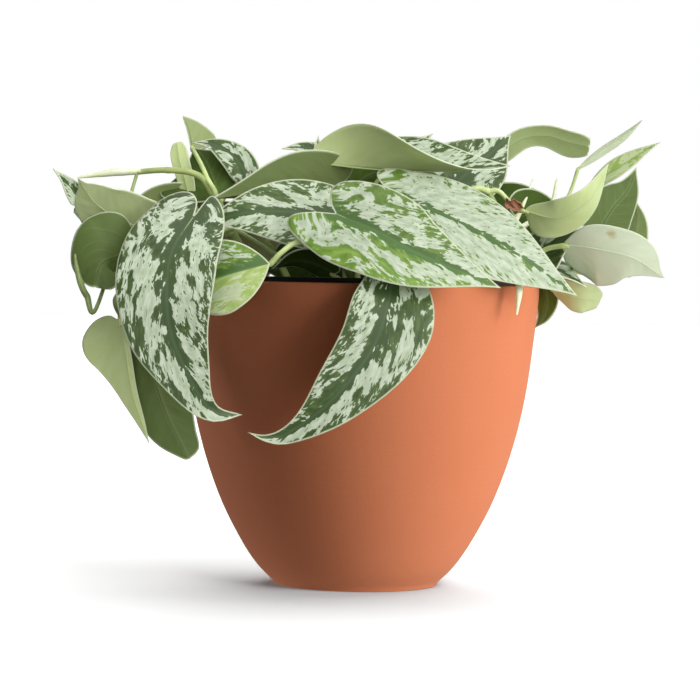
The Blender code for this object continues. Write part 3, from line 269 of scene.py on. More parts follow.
        up=[(0, -0.9, 0.2)] * 2, width=7, fold=(20, 20)),
    "s": dict(stem="far_right", stalk=[(50, 23, 138), (44, 10, 164), (42, 0, 182)],
        rib=[(43, 0, 190), (53, 10, 199), (62, 20, 207), (72, 30, 216)],
        up=[(-0.2, -0.9, 0.3), (-0.1, -0.8, 0.5)], width=40, fold=(8, 8), arch=(14, 14), share=(0.62, 0.45)),
    "t": dict(stem="far_right", stalk=[(54, 25, 149), (52, 32, 172), (54, 36, 190)],
        rib=[(66, 38, 206), (78, 42, 215), (90, 43, 217), (101, 42, 214), (111, 40, 212)],
        up=[(-0.1, 0.9, 0.3), (0.1, 0.9, 0.2)], width=13, fold=(12, 14), arch=(20, 24),
        edges=([(0, 0), (-0.04, 3), (0.06, 5.4), (0.25, 5.6), (0.45, 5.2), (0.65, 6.4), (0.82, 7.4),
                (0.95, 6), (1.03, 3.6), (1.03, 1.4), (1, 0)],
               [(0, 0), (-0.04, 2), (0.06, 4.4), (0.25, 5.6), (0.45, 5.4), (0.65, 5.6), (0.82, 5.8),
                (0.94, 5.2), (1.02, 3.2), (1.03, 1.2), (1, 0)])),
    "u": dict(stem="far_right", stalk=[(86, 31, 176), (96, 37, 180), (102, 41, 189)],
        rib=[(106, 42, 201), (118, 40, 210), (129, 36, 218), (136, 32, 225)],
        up=[(-0.4, 0.7, -0.3)] * 2, width=8, fold=(50, 50), arch=(-20, -20), shape="young"),
    "v": dict(stem="far_right", stalk=[(82, 30, 173), (98, 22, 176)],
        rib=[(108, 18, 189), (119, 12, 198), (131, 8, 206), (142, 4, 213)],
        up=[(-0.4, -0.8, 0.4)] * 2, width=11, fold=(20, 20), arch=(14, 14), shape="young"),
    "x": dict(stem="far_right", stalk=[(70, 27, 162), (92, 10, 160), (106, 0, 163)],
        rib=[(113, -4, 170), (119, 2, 180), (127, 6, 190), (131, 8, 201)],
        up=[(-0.3, 0.9, -0.1)] * 2, width=26),
    "y": dict(stem="far_right", stalk=[(66, 26, 158), (96, 26, 152), (118, 25, 149)],
        rib=[(126, 24, 153), (131, 26, 165), (134, 26, 176), (132, 24, 187)],
        up=[(0.3, 0.9, 0.1)] * 2, width=18),
    "cc": dict(stem="far_right", stalk=[(60, 25, 151), (78, 24, 154)],
        rib=[(85, 22, 149), (90, 20, 139), (89, 20, 129), (84, 22, 122)],
        up=[(0.6, 0.7, 0.4), (0.3, 0.9, 0.2)], width=15),
    "under_a": dict(stem="back_top", stalk=[(-8, 44, 162), (4, 26, 168)],
        rib=[(9, 16, 170), (14, 6, 174), (20, -5, 174), (27, -14, 167)],
        up=[(0, -0.1, 1), (0.3, -0.3, 0.9)], width=26, arch=(14, 14)),
    "under_b": dict(stem="centre", stalk=[(-5, 16, 162), (-12, 22, 168)],
        rib=[(-20, 24, 171), (-34, 20, 176), (-46, 14, 175), (-57, 10, 168)],
        up=[(0, -0.1, 1), (-0.5, -0.1, 0.9)], width=32, arch=(14, 14)),
    "under_c": dict(stem="back_top", stalk=[(-7, 44, 148)],
        rib=[(3, 50, 149), (-14, 55, 152), (-32, 56, 152), (-49, 52, 147)],
        up=[(0, 0.9, 0.3)] * 2, width=36, share=(0.5, 0.33), shape="blunt"),
    "under_e": dict(stem="back_top", stalk=[(-9, 43, 176), (-8, 42, 184)],
        rib=[(-4, 41, 190), (4, 42, 196), (14, 44, 198), (28, 46, 194)],
        up=[(0, 0.9, 0.3)] * 2, width=26),
    "under_f": dict(stem="far_right", stalk=[(62, 26, 156), (60, 20, 168)],
        rib=[(62, 14, 177), (74, 16, 179), (86, 18, 179), (98, 16, 174)],
        up=[(0, 0.9, 0.3)] * 2, width=30),
    "under_d": dict(stem="front", stalk=[(-6, -28, 142)],
        rib=[(-12, -20, 147), (-22, -14, 152), (-32, -10, 153), (-42, -8, 149)],
        up=[(0, 0.7, 0.7), (-0.2, 0.7, 0.7)], width=20),
    "back_a": dict(stem="back_left", stalk=[(-50, 50, 168)],
        rib=[(-60, 56, 178), (-76, 70, 176), (-88, 80, 160), (-94, 84, 138)],
        up=[(-0.3, 0.5, 0.8), (-0.7, 0.7, 0.2)], width=42, arch=(16, 16)),
    "back_b": dict(stem="back_left", stalk=[(-46, 47, 162), (-48, 54, 168)],
        rib=[(-50, 62, 170), (-56, 80, 166), (-58, 94, 148), (-54, 98, 122)],
        up=[(0, 0.5, 0.9), (-0.2, 1, 0.1)], width=44, arch=(16, 16)),
    "back_c": dict(stem="back_left", stalk=[(-42, 44, 156), (-62, 34, 168)],
        rib=[(-78, 26, 172), (-96, 30, 168), (-108, 34, 154), (-112, 36, 132)],
        up=[(-0.4, 0.1, 0.9), (-1, 0.2, 0.2)], width=36, arch=(16, 16)),
    "back_d": dict(stem="back_right", stalk=[(44, 56, 167)],
        rib=[(50, 60, 174), (62, 74, 172), (70, 86, 156), (72, 92, 134)],
        up=[(0.2, 0.5, 0.8), (0.5, 0.9, 0.1)], width=42, arch=(16, 16)),
    "back_e": dict(stem="back_right", stalk=[(38, 51, 158), (30, 58, 166)],
        rib=[(26, 64, 170), (24, 82, 166), (20, 96, 148), (12, 100, 122)],
        up=[(0, 0.5, 0.9), (0, 1, 0.1)], width=44, arch=(16, 16)),
    "back_f": dict(stem="back_right", stalk=[(40, 53, 161), (54, 50, 168)],
        rib=[(68, 46, 172), (82, 56, 172), (92, 66, 162), (98, 72, 148)],
        up=[(0.3, 0.2, 0.9), (0.8, 0.6, 0.3)], width=34, arch=(16, 16)),
    "back_g": dict(stem="back_top", stalk=[(-9, 43, 172)],
        rib=[(-10, 46, 184), (-14, 62, 190), (-16, 80, 186), (-14, 94, 170)],
        up=[(0, -0.1, 1), (0, 0.8, 0.6)], width=40, fold=(14, 14), arch=(20, 20)),
    "back_h": dict(stem="back_top", stalk=[(-9, 43, 170), (0, 36, 180)],
        rib=[(8, 34, 186), (22, 44, 192), (38, 56, 190), (50, 68, 180)],
        up=[(-0.1, -0.1, 1), (0.5, 0.6, 0.6)], width=38, fold=(14, 14), arch=(20, 20)),
    "back_i": dict(stem="back_top", stalk=[(-9, 43, 168), (-16, 34, 178)],
        rib=[(-24, 28, 184), (-38, 35, 190), (-50, 41, 189), (-60, 43, 182)],
        up=[(0.1, -0.1, 1), (-0.5, 0.6, 0.6)], width=36, fold=(14, 14), arch=(20, 20)),
}
for leaf in LEAVES.values():
    for part, usual in PLAIN_LEAF.items():
        leaf.setdefault(part, usual)

# shoots without a blade: rolled leaves, growing tips and dry spikes
SHOOTS = {
    "rolled_leaf": dict(stem="left", line=[(-103, -24, 193), (-112, -23, 193), (-120, -22, 192),
        (-133, -21, 190)], radius=(1.3, 1.9, 1.5, 0.5)),
    "rolled_rim": dict(stem="left", line=[(-111, -50, 130), (-120, -51, 131), (-125, -52, 135),
        (-128, -52, 141), (-130, -51, 148), (-131, -50, 154)], radius=(0.8, 0.9, 1.5, 1.5, 1.1, 0.6)),
    "growing_tip": dict(stem="right", line=[(62, -14, 150), (64, -24, 152), (67, -40, 152), (71, -53, 149),
        (72, -60, 141), (71, -61, 130)], radius=(1.1, 1.2, 1.3, 1.7, 1.7, 0.5)),
    "spike_left": dict(stem="right", line=[(68, -18, 166), (75, -13, 179), (81, -9, 194)],
        radius=(1.3, 1.1, 0.4)),
    "spike_right": dict(stem="right", line=[(70, -16, 168), (88, -9, 180), (92, -8, 194)],
        radius=(1.3, 1.2, 0.4)),
    "young_leaf": dict(stem="left", line=[(-56, -18, 157), (-84, -34, 152), (-104, -44, 142),
        (-110, -50, 133), (-108, -51, 124)], radius=(1, 1, 1.3, 3.4, 1.3)),
}

# how each leaf is coloured: its share of silver, how bright the green is in its two halves, and how pale it
# is below, which is partly painted light and shade: near-black olive for leaves in deep shade, cream for
# brightly lit ones; the low leaves under the others are all alike and painted near-black as shade, and those
# at the back are all alike too
TONES = {
    "a": (0.61, 0.0, 0.0, 0.5), "b": (0.59, 0.05, 0.05, 0.5), "c": (0.61, 0.6, 1.0, 0.5),
    "d": (0.82, 0.7, 0.8, 0.5), "e": (0.62, 0.15, 0.15, 0.5), "f": (0.55, 2.8, 0.9, 0.5),
    "g": (0.5, 0.1, 0.1, 0.08), "h": (0.5, 0.1, 0.1, 1.0), "h2": (0.5, 0.1, 0.1, 0.12),
    "i": (0.5, 0.1, 0.1, 1.1), "j": (0.75, 0.2, 0.2, 0.6), "k": (0.5, 0.1, 0.1, 0.4),
    "l": (0.5, 0.2, 0.2, 1.0), "m": (0.5, 0.2, 0.2, 0.5), "n": (0.57, 0.1, 0.1, 0.15),
    "n2": (0.5, 0.1, 0.1, 0.0), "o": (0.5, 0.1, 0.1, 0.3), "p": (0.55, 0.05, 0.05, 0.3),
    "q": (0.55, 0.3, 0.3, 0.4), "r": (0.62, 0.1, 0.1, 1.0), "r2": (0.55, 0.1, 0.1, 0.4),
    "s": (0.54, 0.05, 0.05, 0.4), "t": (0.5, 0.1, 0.1, 0.45), "u": (1.2, 1.5, 1.5, 1.8),
    "v": (0.6, 4.0, 4.0, 0.9), "w": (0.5, 0.3, 0.3, 0.95), "w2": (0.45, 0.05, 0.05, 0.25),
    "w3": (0.45, 0.05, 0.05, 0.0), "x": (0.5, 0.1, 0.1, 0.05), "y": (0.5, 0.1, 0.1, 0.25),
    "z": (0.5, 0.2, 0.2, 1.9), "aa": (0.65, 0.3, 0.3, 0.6), "bb": (0.5, 0.2, 0.2, 1.1),
    "cc": (0.5, 0.1, 0.1, 0.0), "under": (0.5, 0.0, 0.0, 0.0), "back": (0.55, 0.15, 0.15, 0.4),
}

# old bruises: the leaf, then the share of its length and the distance out from its midrib, in mm
BRUISES = {"z": (0.42, 9.0)}
BRUISED_LENGTH = 45.0
NO_BRUISE = (9.0, 0.0)


def colour(hexadecimal):
    """A linear colour from its sRGB hex value."""
    parts = [int(hexadecimal[i:i + 2], 16) / 255 for i in (1, 3, 5)]
    return tuple(c / 12.92 if c <= 0.04045 else ((c + 0.055) / 1.055) ** 2.4 for c in parts) + (1.0,)


def add(tree, kind, inputs=None, **settings):
    """Adds a node to the tree. An input takes a value or another node's output."""
    made = tree.nodes.new(kind)
    for name, value in settings.items():
        setattr(made, name, value)
    for key, value in (inputs or {}).items():
        if isinstance(value, bpy.types.NodeSocket):
            tree.links.new(value, made.inputs[key])
        else:
            made.inputs[key].default_value = value
    return made


def reckon(tree, operation, *values):
    return add(tree, "ShaderNodeMath", dict(enumerate(values)), operation=operation).outputs[0]


def weighed(tree, start, *parts):
    """The start with each value added to it, times the value's weight."""
    for value, weight in parts:
        start = reckon(tree, "MULTIPLY_ADD", value, weight, start)
    return start


def ramp(tree, value, start, end, low=0.0, high=1.0, kind="LINEAR"):
    """From low to high as the value goes from start to end, and level beyond them."""
    places = {"Value": value, "From Min": start, "From Max": end, "To Min": low, "To Max": high}
    return add(tree, "ShaderNodeMapRange", places, interpolation_type=kind).outputs[0]


def between(tree, share, first, second):
    """The number that lies this share of the way from the first to the second."""
    return add(tree, "ShaderNodeMix", {0: share, "A": first, "B": second}).outputs[0]


def blend(tree, share, first, second):
    """The colour this share of the way from the first to the second, each a hex value or a node's output."""
    first, second = [colour(end) if isinstance(end, str) else end for end in (first, second)]
    return add(tree, "ShaderNodeMix", {0: share, "A": first, "B": second}, data_type="RGBA").outputs["Result"]


def drawn_noise(tree, where, scale, detail, roughness, distortion=0.0):
    """Noise with a scale of its own along each axis."""
    spread = add(tree, "ShaderNodeMapping", {"Vector": where, "Scale": scale}).outputs[0]
    return add(tree, "ShaderNodeTexNoise", {"Vector": spread, "Scale": 1.0, "Detail": detail,
                                            "Roughness": roughness, "Distortion": distortion}).outputs["Fac"]


def noise(tree, size, detail, roughness=0.5):
    """Noise through the whole piece, with patches of about this size in millimetres."""
    return add(tree, "ShaderNodeTexNoise", {"Vector": add(tree, "ShaderNodeTexCoord").outputs["Object"],
                                            "Scale": 1 / (size * MM), "Detail": detail,
                                            "Roughness": roughness}).outputs["Fac"]


def read_parts(tree, name):
    """The three numbers that the mesh stores at each point under this name."""
    stored = add(tree, "ShaderNodeAttribute", attribute_name=name).outputs["Vector"]
    return add(tree, "ShaderNodeSeparateXYZ", {0: stored}).outputs


def new_material(name, **settings):
    """A material and its Principled shader, with plain numbers and colours set on the shader's sockets."""
    material = bpy.data.materials.new(name)
    material.use_nodes = True
    shader = material.node_tree.nodes["Principled BSDF"]
    for key, value in settings.items():
        shader.inputs[key.replace("_", " ").title().replace("Ior", "IOR")].default_value = value
    return material, material.node_tree, shader


def give_skin(tree, shader, skin, height, strength, depth):
    """Gives the shader its colour, and a fine relief of the height, this many millimetres deep."""
    tree.links.new(skin, shader.inputs["Base Color"])
    bump = add(tree, "ShaderNodeBump", {"Height": height, "Strength": strength, "Distance": depth * MM})
    tree.links.new(bump.outputs[0], shader.inputs["Normal"])


def let_light_through(tree, shader, skin):
    """A leaf blade is thin, so some of the light that falls on one face comes out of the other."""
    glow = add(tree, "ShaderNodeBsdfTranslucent", {"Color": skin})
    both = add(tree, "ShaderNodeMixShader", {0: LIGHT_THROUGH, 1: shader.outputs[0], 2: glow.outputs[0]})
    tree.links.new(both.outputs[0], tree.nodes["Material Output"].inputs["Surface"])


def leaf_top_material():
    """Upper face of the leaf: a smooth green skin with air-filled silver cells in flecks that follow the side
    veins, a ragged green band along the midrib and a thin pale margin. The silver is less glossy."""
    material, tree, shader = new_material("satin leaf upper face with silver flecks", specular_ior_level=0.38)
    veins = add(tree, "ShaderNodeAttribute", attribute_name="veins").outputs["Vector"]
    midrib, margin, along = read_parts(tree, "place")
    silver, bright, _ = read_parts(tree, "tone")
    slimness = read_parts(tree, "size")[0]

    # three sizes of noise for the flecks and one for rare spots: along the vein, along the midrib, and detail
    sizes = ((9.5, 13.0, 1.0), (3.7, 5.2, 2.0), (1.6, 2.1, 1.0), (1.9, 2.6, 0.0))
    large, small, fine, spots = [drawn_noise(tree, veins, (1 / reach, 1 / start, LEAF_APART), detail, 0.55,
                                             0.25) for reach, start, detail in sizes]
    patches = weighed(tree, 0.0, (large, 0.64), (small, 0.23), (fine, 0.13))
    dashes = weighed(tree, 0.0, (large, 0.15), (small, 0.55), (fine, 0.3))

    # broad patches inside and small flecks by the margin, in proportion on a slim leaf; the tip has no border
    depth = weighed(tree, ramp(tree, along, 0.6, 1.0, 0.0, 7.0), (margin, slimness))
    inside = ramp(tree, depth, 1.2, 8.0, kind="SMOOTHSTEP")
    flecks = between(tree, inside, dashes, patches)

    # the green band along the midrib runs out along the veins at its edge, and it narrows towards the tip
    narrows = reckon(tree, "MULTIPLY", ramp(tree, along, 0.1, 0.9, 0.85, 2.4), slimness)
    ragged = weighed(tree, -16.4, (small, 14.0), (large, 6.0), (silver, 8.0), (midrib, narrows))
    band = ramp(tree, ragged, 0.8, 3.4, 1.0, 0.0, "SMOOTHSTEP")
    band = reckon(tree, "MULTIPLY", band, ramp(tree, along, 0.75, 1.0, 1.0, 0.35))
    rim = ramp(tree, depth, 0.5, 8.0, 0.07, 0.0, "SMOOTHSTEP")
    limit = weighed(tree, rim, (band, 0.3), (silver, -0.34))
    is_silver = ramp(tree, reckon(tree, "SUBTRACT", flecks, limit), 0.66, 0.678)
    no_spot = ramp(tree, weighed(tree, spots, (inside, -0.05)), 0.685, 0.665)
    is_silver = reckon(tree, "MULTIPLY", is_silver, no_spot)

    # deep green, fresh green or lime, each of them clouded, with a bluer and lighter line on the midrib
    cloud, streak = [ramp(tree, value, 0.35, 0.65) for value in (large, small)]
    deep = blend(tree, between(tree, 0.6, cloud, streak), "#35471F", "#647E46")
    deep = blend(tree, band, deep, "#40552C")
    fresh = blend(tree, band, blend(tree, streak, "#6C9233", "#94B553"), "#5C8340")
    brighter = reckon(tree, "SUBTRACT", bright, 1.0)
    green = blend(tree, bright, deep, fresh)
    green = blend(tree, brighter, green, blend(tree, streak, "#A3BF62", "#C3D58C"))
    green = blend(tree, ramp(tree, midrib, 0.2, 1.1, 0.15, 0.0, "SMOOTHSTEP"), green, "#75906A")
    pale = blend(tree, streak, "#AEBE9E", "#D2DDC6")
    pale = blend(tree, reckon(tree, "MULTIPLY", brighter, 0.4), pale, "#D3E0AC")
    skin = blend(tree, is_silver, green, pale)
    skin = blend(tree, ramp(tree, margin, 0.45, 0.8, 0.85, 0.0), skin, MARGIN_COLOUR)
    tree.links.new(ramp(tree, is_silver, 0.0, 1.0, 0.42, 0.56), shader.inputs["Roughness"])

    # the silver cells stand a little proud, and the skin is finely grained
    give_skin(tree, shader, skin, weighed(tree, fine, (is_silver, 0.4)), 0.35, 0.15)
    let_light_through(tree, shader, skin)
    return material


def leaf_underside_material():
    """Under face of the leaf: plain olive to pale green and matt, with faint raised side veins. How dark or
    pale each leaf is below is partly painted shade and painted light.
    """
    material, tree, shader = new_material("matt leaf underside", roughness=0.55, specular_ior_level=0.3)
    veins = add(tree, "ShaderNodeAttribute", attribute_name="veins").outputs["Vector"]
    midrib, margin, _ = read_parts(tree, "place")
    paleness_and_painted_light = read_parts(tree, "tone")[2]
    blemish = read_parts(tree, "size")[1]
    cloud = drawn_noise(tree, veins, (1 / 18, 1 / 9, LEAF_APART), 4.0, 0.6)
    # dark olive stands for deep shade and cream for bright light: painted shade and painted light on top of
    # the leaf's own tone
    dark_and_painted_shade = blend(tree, cloud, "#3C4F16", "#5C772C")
    base = blend(tree, paleness_and_painted_light, dark_and_painted_shade, blend(tree, cloud, "#C6DA84", "#E4F0BA"))
    cream_and_painted_light = blend(tree, cloud, "#DDEBC8", "#EFF8E2")
    base = blend(tree, reckon(tree, "SUBTRACT", paleness_and_painted_light, 1.0), base, cream_and_painted_light)

    # an old bruise, dried to light brown
    bruised = ramp(tree, weighed(tree, blemish, (cloud, 5.0)), 3.6, 5.2, 0.75, 0.0, "SMOOTHSTEP")
    base = blend(tree, bruised, base, "#C9B878")

    # a side vein every few millimetres, drawn as a thin lighter line
    start = add(tree, "ShaderNodeSeparateXYZ", {0: veins}).outputs[1]
    turn = reckon(tree, "FRACT", reckon(tree, "MULTIPLY", start, 1 / VEIN_SPACING))
    from_vein = reckon(tree, "ABSOLUTE", reckon(tree, "SUBTRACT", turn, 0.5))
    line = reckon(tree, "MULTIPLY", ramp(tree, from_vein, 0.0, 0.09, 0.05, 0.0), ramp(tree, margin, 1.0, 6.0))
    skin = blend(tree, line, base, "#C9D6A0")
    skin = blend(tree, ramp(tree, midrib, 0.4, 1.6, 0.1, 0.0), skin, "#CBD8A4")
    skin = blend(tree, ramp(tree, margin, 0.4, 0.8, 0.7, 0.0), skin, MARGIN_COLOUR)
    give_skin(tree, shader, skin, weighed(tree, cloud, (line, 1.6)), 0.4, 0.3)
    let_light_through(tree, shader, skin)
    return material


def leaf_margin_material():
    """The edge of the blade: thin tissue with no green in it, which shows as a pale line round the leaf."""
    material, tree, shader = new_material("pale leaf margin", roughness=0.5)
    skin = blend(tree, noise(tree, 6, 2.0), "#CBD7AC", "#E9EDD8")
    tree.links.new(skin, shader.inputs["Base Color"])
    return material


def stem_material(name, young, old, patch):
    """Smooth, waxy green stalk tissue in soft patches of two greens, a little glossy."""
    material, tree, shader = new_material(name, roughness=0.42)
    shade = ramp(tree, noise(tree, patch, 3.0, 0.6), 0.35, 0.65)
    give_skin(tree, shader, blend(tree, shade, young, old), noise(tree, 1.2, 2.0), 0.25, 0.2)
    return material


def dry_sheath_material():
    """Withered bract that once wrapped a young leaf: papery, red-brown and matt."""
    material, tree, shader = new_material("dry papery bract", roughness=0.85)
    fibres = noise(tree, 1.5, 4.0)
    give_skin(tree, shader, blend(tree, fibres, "#5B2E1C", "#C08A6A"), fibres, 0.6, 0.4)
    return material


def terracotta_material():
    """Unglazed terracotta, turned and fired: matt and even, with faint turning lines and soft blooms."""
    material, tree, shader = new_material("matt unglazed terracotta", roughness=0.8, specular_ior_level=0.2,
                                          sheen_weight=0.02, sheen_roughness=0.6)
    grit = noise(tree, 0.7, 3.0)
    # turning lines about 1.6 mm apart, drawn out to a long way round the pot
    where = add(tree, "ShaderNodeTexCoord").outputs["Object"]
    rings = drawn_noise(tree, where, (1.5, 1.5, 1 / (1.6 * MM)), 3.0, 0.5)
    clay = blend(tree, noise(tree, 38, 4.0, 0.55), "#C16E47", "#C87A54")
    ringed = blend(tree, rings, clay, "#C4724C")
    skin = blend(tree, ramp(tree, grit, 0.55, 0.75, 0.0, 0.18), ringed, "#D9936E")
    give_skin(tree, shader, skin, weighed(tree, grit, (rings, 1.0)), 0.22, 0.25)
    return material


def plastic_material():
    """Thin vacuum-formed polypropylene, black: satin, with a fine orange peel and dust on it."""
    material, tree, shader = new_material("satin black polypropylene", ior=1.49)
    dust = ramp(tree, noise(tree, 9, 6.0, 0.7), 0.5, 0.8, 0.0, 0.3)
    tree.links.new(ramp(tree, dust, 0.0, 0.3, 0.36, 0.75), shader.inputs["Roughness"])
    give_skin(tree, shader, blend(tree, dust, "#17181A", "#4A423B"), noise(tree, 1.1, 2.0), 0.12, 0.2)
    return material


def soil_material():
    """Moist peat with bark and fibre: dark brown and fully matt, lighter where crumbs have dried."""
    material, tree, shader = new_material("moist peat potting soil", roughness=0.95)
    crumbs = noise(tree, 2.5, 6.0, 0.7)
    skin = blend(tree, ramp(tree, crumbs, 0.42, 0.68), "#120C08", "#382A1E")
    give_skin(tree, shader, skin, crumbs, 0.9, 1.2)
    return material


def perlite_material():
    """Perlite: puffed volcanic glass, off-white, matt and pitted."""
    material, tree, shader = new_material("puffed perlite", roughness=0.9)
    pits = noise(tree, 0.8, 3.0)
    give_skin(tree, shader, blend(tree, pits, "#8F8676", "#E6E2D8"), pits, 0.6, 0.3)
    return material


def unit(values):
    values = np.asarray(values, float)
    return values / np.linalg.norm(values, axis=-1, keepdims=True)


def spline(points, t):
    """Smooth curve through the points, t from 0 to 1 over the whole chain."""
    p = np.asarray(points, float)
    count = len(p) - 1
    p = np.vstack([2 * p[0] - p[1], p, 2 * p[-1] - p[-2]])
    x = np.clip(np.asarray(t, float), 0, 1) * count
    i = np.minimum(x.astype(int), count - 1)
    f = (x - i)[..., None]
    a, b, c, d = p[i], p[i + 1], p[i + 2], p[i + 3]
    return b + 0.5 * f * (c - a + f * (2 * a - 5 * b + 4 * c - d + f * (3 * (b - c) + d - a)))


def to_outline(outline, along, across):
    """How far each point of the flat leaf lies from this half's outline."""
    fine = spline(outline, np.linspace(0, 1, 120))
    near = np.full(along.shape, 1e9)
    for a, b in zip(fine, fine[1:]):
        step = b - a
        t = ((along - a[0]) * step[0] + (across - a[1]) * step[1]) / (step @ step + 1e-12)
        t = np.clip(t, 0, 1)
        near = np.minimum(near, np.hypot(along - a[0] - t * step[0], across - a[1] - t * step[1]))
    return near


def vein_place(along, across):
    """How far out along its side vein each point lies and where on the midrib that vein starts. Side veins
    leave the midrib forwards and bend on towards the tip, and those of the lobes fan out from the stalk."""
    start = along - across - VEIN_BEND * across ** 2
    reach = np.hypot(across, along - np.maximum(start, 0))
    first = np.arctan2(across, across * (1.0 + VEIN_BEND * across) + 1e-6)
    fan = (first - np.arctan2(across, along)) * LOBE_FAN
    return np.where(start < 0, np.maximum(start, fan), start), reach


def half_outlines(leaf, whole):
    """Outline of the blade's two halves: how far along the midrib, and how far out from it."""
    outlines = []
    for k in (0, 1):
        if "edges" in leaf:
            outlines.append(np.array(leaf["edges"][k]) * (whole, 1.0))
            continue
        outline = np.array(SHAPES[leaf["shape"]])
        outline[:, 0] = np.where(outline[:, 0] < 0, outline[:, 0] * leaf["lobes"][k], outline[:, 0]) * whole
        outline[:, 1] *= 2 * leaf["width"] * leaf["share"][k]
        outlines.append(outline)
    return outlines


def upper_side(leaf, share, tangent):
    """The way that the leaf's upper side faces at each share of its length, square to the midrib."""
    up = unit(leaf["up"][0]) * (1 - share) + unit(leaf["up"][1]) * share
    return unit(up - (up * tangent).sum(1, keepdims=True) * tangent)


def blade_grid(leaf, rows, columns, ripple):
    """Points of the blade by row from stalk to tip and by column from margin to margin, with each point's
    place on the flat leaf."""
    samples = np.linspace(0, 1, 60)
    line = spline(leaf["rib"], samples)
    tangent = unit(np.gradient(line, axis=0))
    steps = np.linalg.norm(np.diff(line, axis=0), axis=1)
    length = np.concatenate([[0.0], np.cumsum(steps)])
    whole = length[-1]
    up = upper_side(leaf, (length / whole)[:, None], tangent)
    side = np.cross(tangent, up)

    r = np.linspace(0, 1, rows + 1)[:, None]
    v = np.linspace(-1, 1, columns + 1)[None, :]
    a = np.abs(v)
    left = v < 0
    outlines = half_outlines(leaf, whole)
    halves = [spline(outline, r[:, 0] ** 0.9) for outline in outlines]
    edge_along, edge_across = [np.where(left, halves[0][:, i:i + 1], halves[1][:, i:i + 1]) for i in (0, 1)]
    s = r * whole * (1 - a) + edge_along * a
    across = edge_across * a
    start, reach = vein_place(s, across)
    margin = np.where(left, to_outline(outlines[0], s, across), to_outline(outlines[1], s, across))

    fold = np.radians(np.where(left, *leaf["fold"]))
    fold = fold * (1 + np.where(left, *leaf["fold_tip"]) * np.clip(s / whole, 0, 1))
    bend = np.radians(np.where(left, *leaf["arch"])) * 2 / leaf["width"] + 1e-9
    sideways = (np.sin(fold) - np.sin(fold - bend * across)) / bend * np.sign(v)
    lift = (np.cos(fold - bend * across) - np.cos(fold)) / bend
    slighter = min(1.0, leaf["width"] / FULL_WIDTH)
    off_midrib = np.clip(across / RELIEF_FADE, 0, 1)
    sunk = np.cos(2 * math.pi * start / VEIN_SPACING) - 1
    sunk = sunk * np.clip(margin / RELIEF_FADE, 0, 1) * off_midrib
    lift = lift + VEIN_RELIEF * slighter * sunk - FACET_BULGE * off_midrib
    waving = np.sin(s / WAVE_LENGTH + ripple + np.where(left, 0.0, 2.1)) - 1
    lift = lift + MARGIN_WAVE * slighter * waving * (across / leaf["width"] * 2) ** 2

    at = np.clip(s, 0, whole)

    def there(values):
        return np.stack([np.interp(at, length, values[:, i]) for i in range(3)], -1)

    centre = there(line) + np.minimum(s, 0)[..., None] * tangent[0]
    points = centre + sideways[..., None] * unit(there(side)) + lift[..., None] * unit(there(up))
    return points, dict(start=start, reach=reach * np.sign(v), across=across, margin=margin, along=s / whole)


def select_only(*objects):
    for other in bpy.context.selected_objects:
        other.select_set(False)
    for obj in objects:
        obj.select_set(True)
    bpy.context.view_layer.objects.active = objects[0]


def joined(name, objects):
    select_only(*objects)
    if len(objects) > 1:
        bpy.ops.object.join()
    obj = bpy.context.view_layer.objects.active
    obj.name = name
    obj.data.name = name
    return obj


def apply_modifier(obj, kind, **settings):
    modifier = obj.modifiers.new(kind.lower(), kind)
    for key, value in settings.items():
        setattr(modifier, key, value)
    select_only(obj)
    bpy.ops.object.modifier_apply(modifier=modifier.name)


def tones_of(name):
    return TONES[name.split("_")[0]]


def give_values(mesh, values):
    """Stores three numbers at each point of the mesh under each name, for the leaf materials to read."""
    for key, parts in values.items():
        attribute = mesh.attributes.new(key, "FLOAT_VECTOR", "POINT")
        attribute.data.foreach_set("vector", np.stack(parts, -1).astype(np.float32).reshape(-1))


def blade(name, leaf, seed):
    """One leaf blade: a grid shaped to the leaf and given its thickness, with three skins."""
    rows, columns = BROAD_GRID if leaf["width"] >= BROAD_BLADE else SLIM_GRID
    points, flat = blade_grid(leaf, rows, columns, seed * RIPPLE_STEP)
    bpy.ops.mesh.primitive_grid_add(x_subdivisions=columns, y_subdivisions=rows, size=1)
    obj = bpy.context.view_layer.objects.active
    mesh = obj.data
    mesh.vertices.foreach_set("co", (points * MM).reshape(-1))
    # the last tone, how pale the underside is, also carries painted light and shade for the leaf
    silver, bright_left, bright_right, pale = tones_of(name)
    from_midrib = np.abs(np.linspace(-1, 1, columns + 1))[None, :] + np.zeros((rows + 1, 1))
    bright = np.where(flat["reach"] < 0, bright_left, bright_right) * (0.7 + 0.3 * from_midrib)
    whole = np.ones_like(from_midrib)
    spot_along, spot_across = BRUISES.get(name, NO_BRUISE)
    bruise = np.hypot((flat["along"] - spot_along) * BRUISED_LENGTH,
                      flat["across"] * np.sign(flat["reach"]) - spot_across)
    values = {
        "veins": (flat["reach"], flat["start"], whole * seed),
        "place": (flat["across"], flat["margin"], flat["along"]),
        "tone": (whole * silver, bright, whole * pale),
        "size": (whole * max(1.0, SLIM_WIDTH / leaf["width"]), bruise, whole),
    }
    give_values(mesh, values)
    for material in (LEAF_TOP, LEAF_UNDERSIDE, LEAF_MARGIN):
        mesh.materials.append(material)
    bpy.ops.object.mode_set(mode="EDIT")
    bpy.ops.mesh.select_all(action="SELECT")
    bpy.ops.mesh.remove_doubles(threshold=0.01 * MM)
    bpy.ops.object.mode_set(mode="OBJECT")
    bpy.ops.object.shade_smooth()
    apply_modifier(obj, "SOLIDIFY", thickness=BLADE_THICKNESS * MM, offset=0.0, material_offset=1,
                   material_offset_rim=2)
    return obj


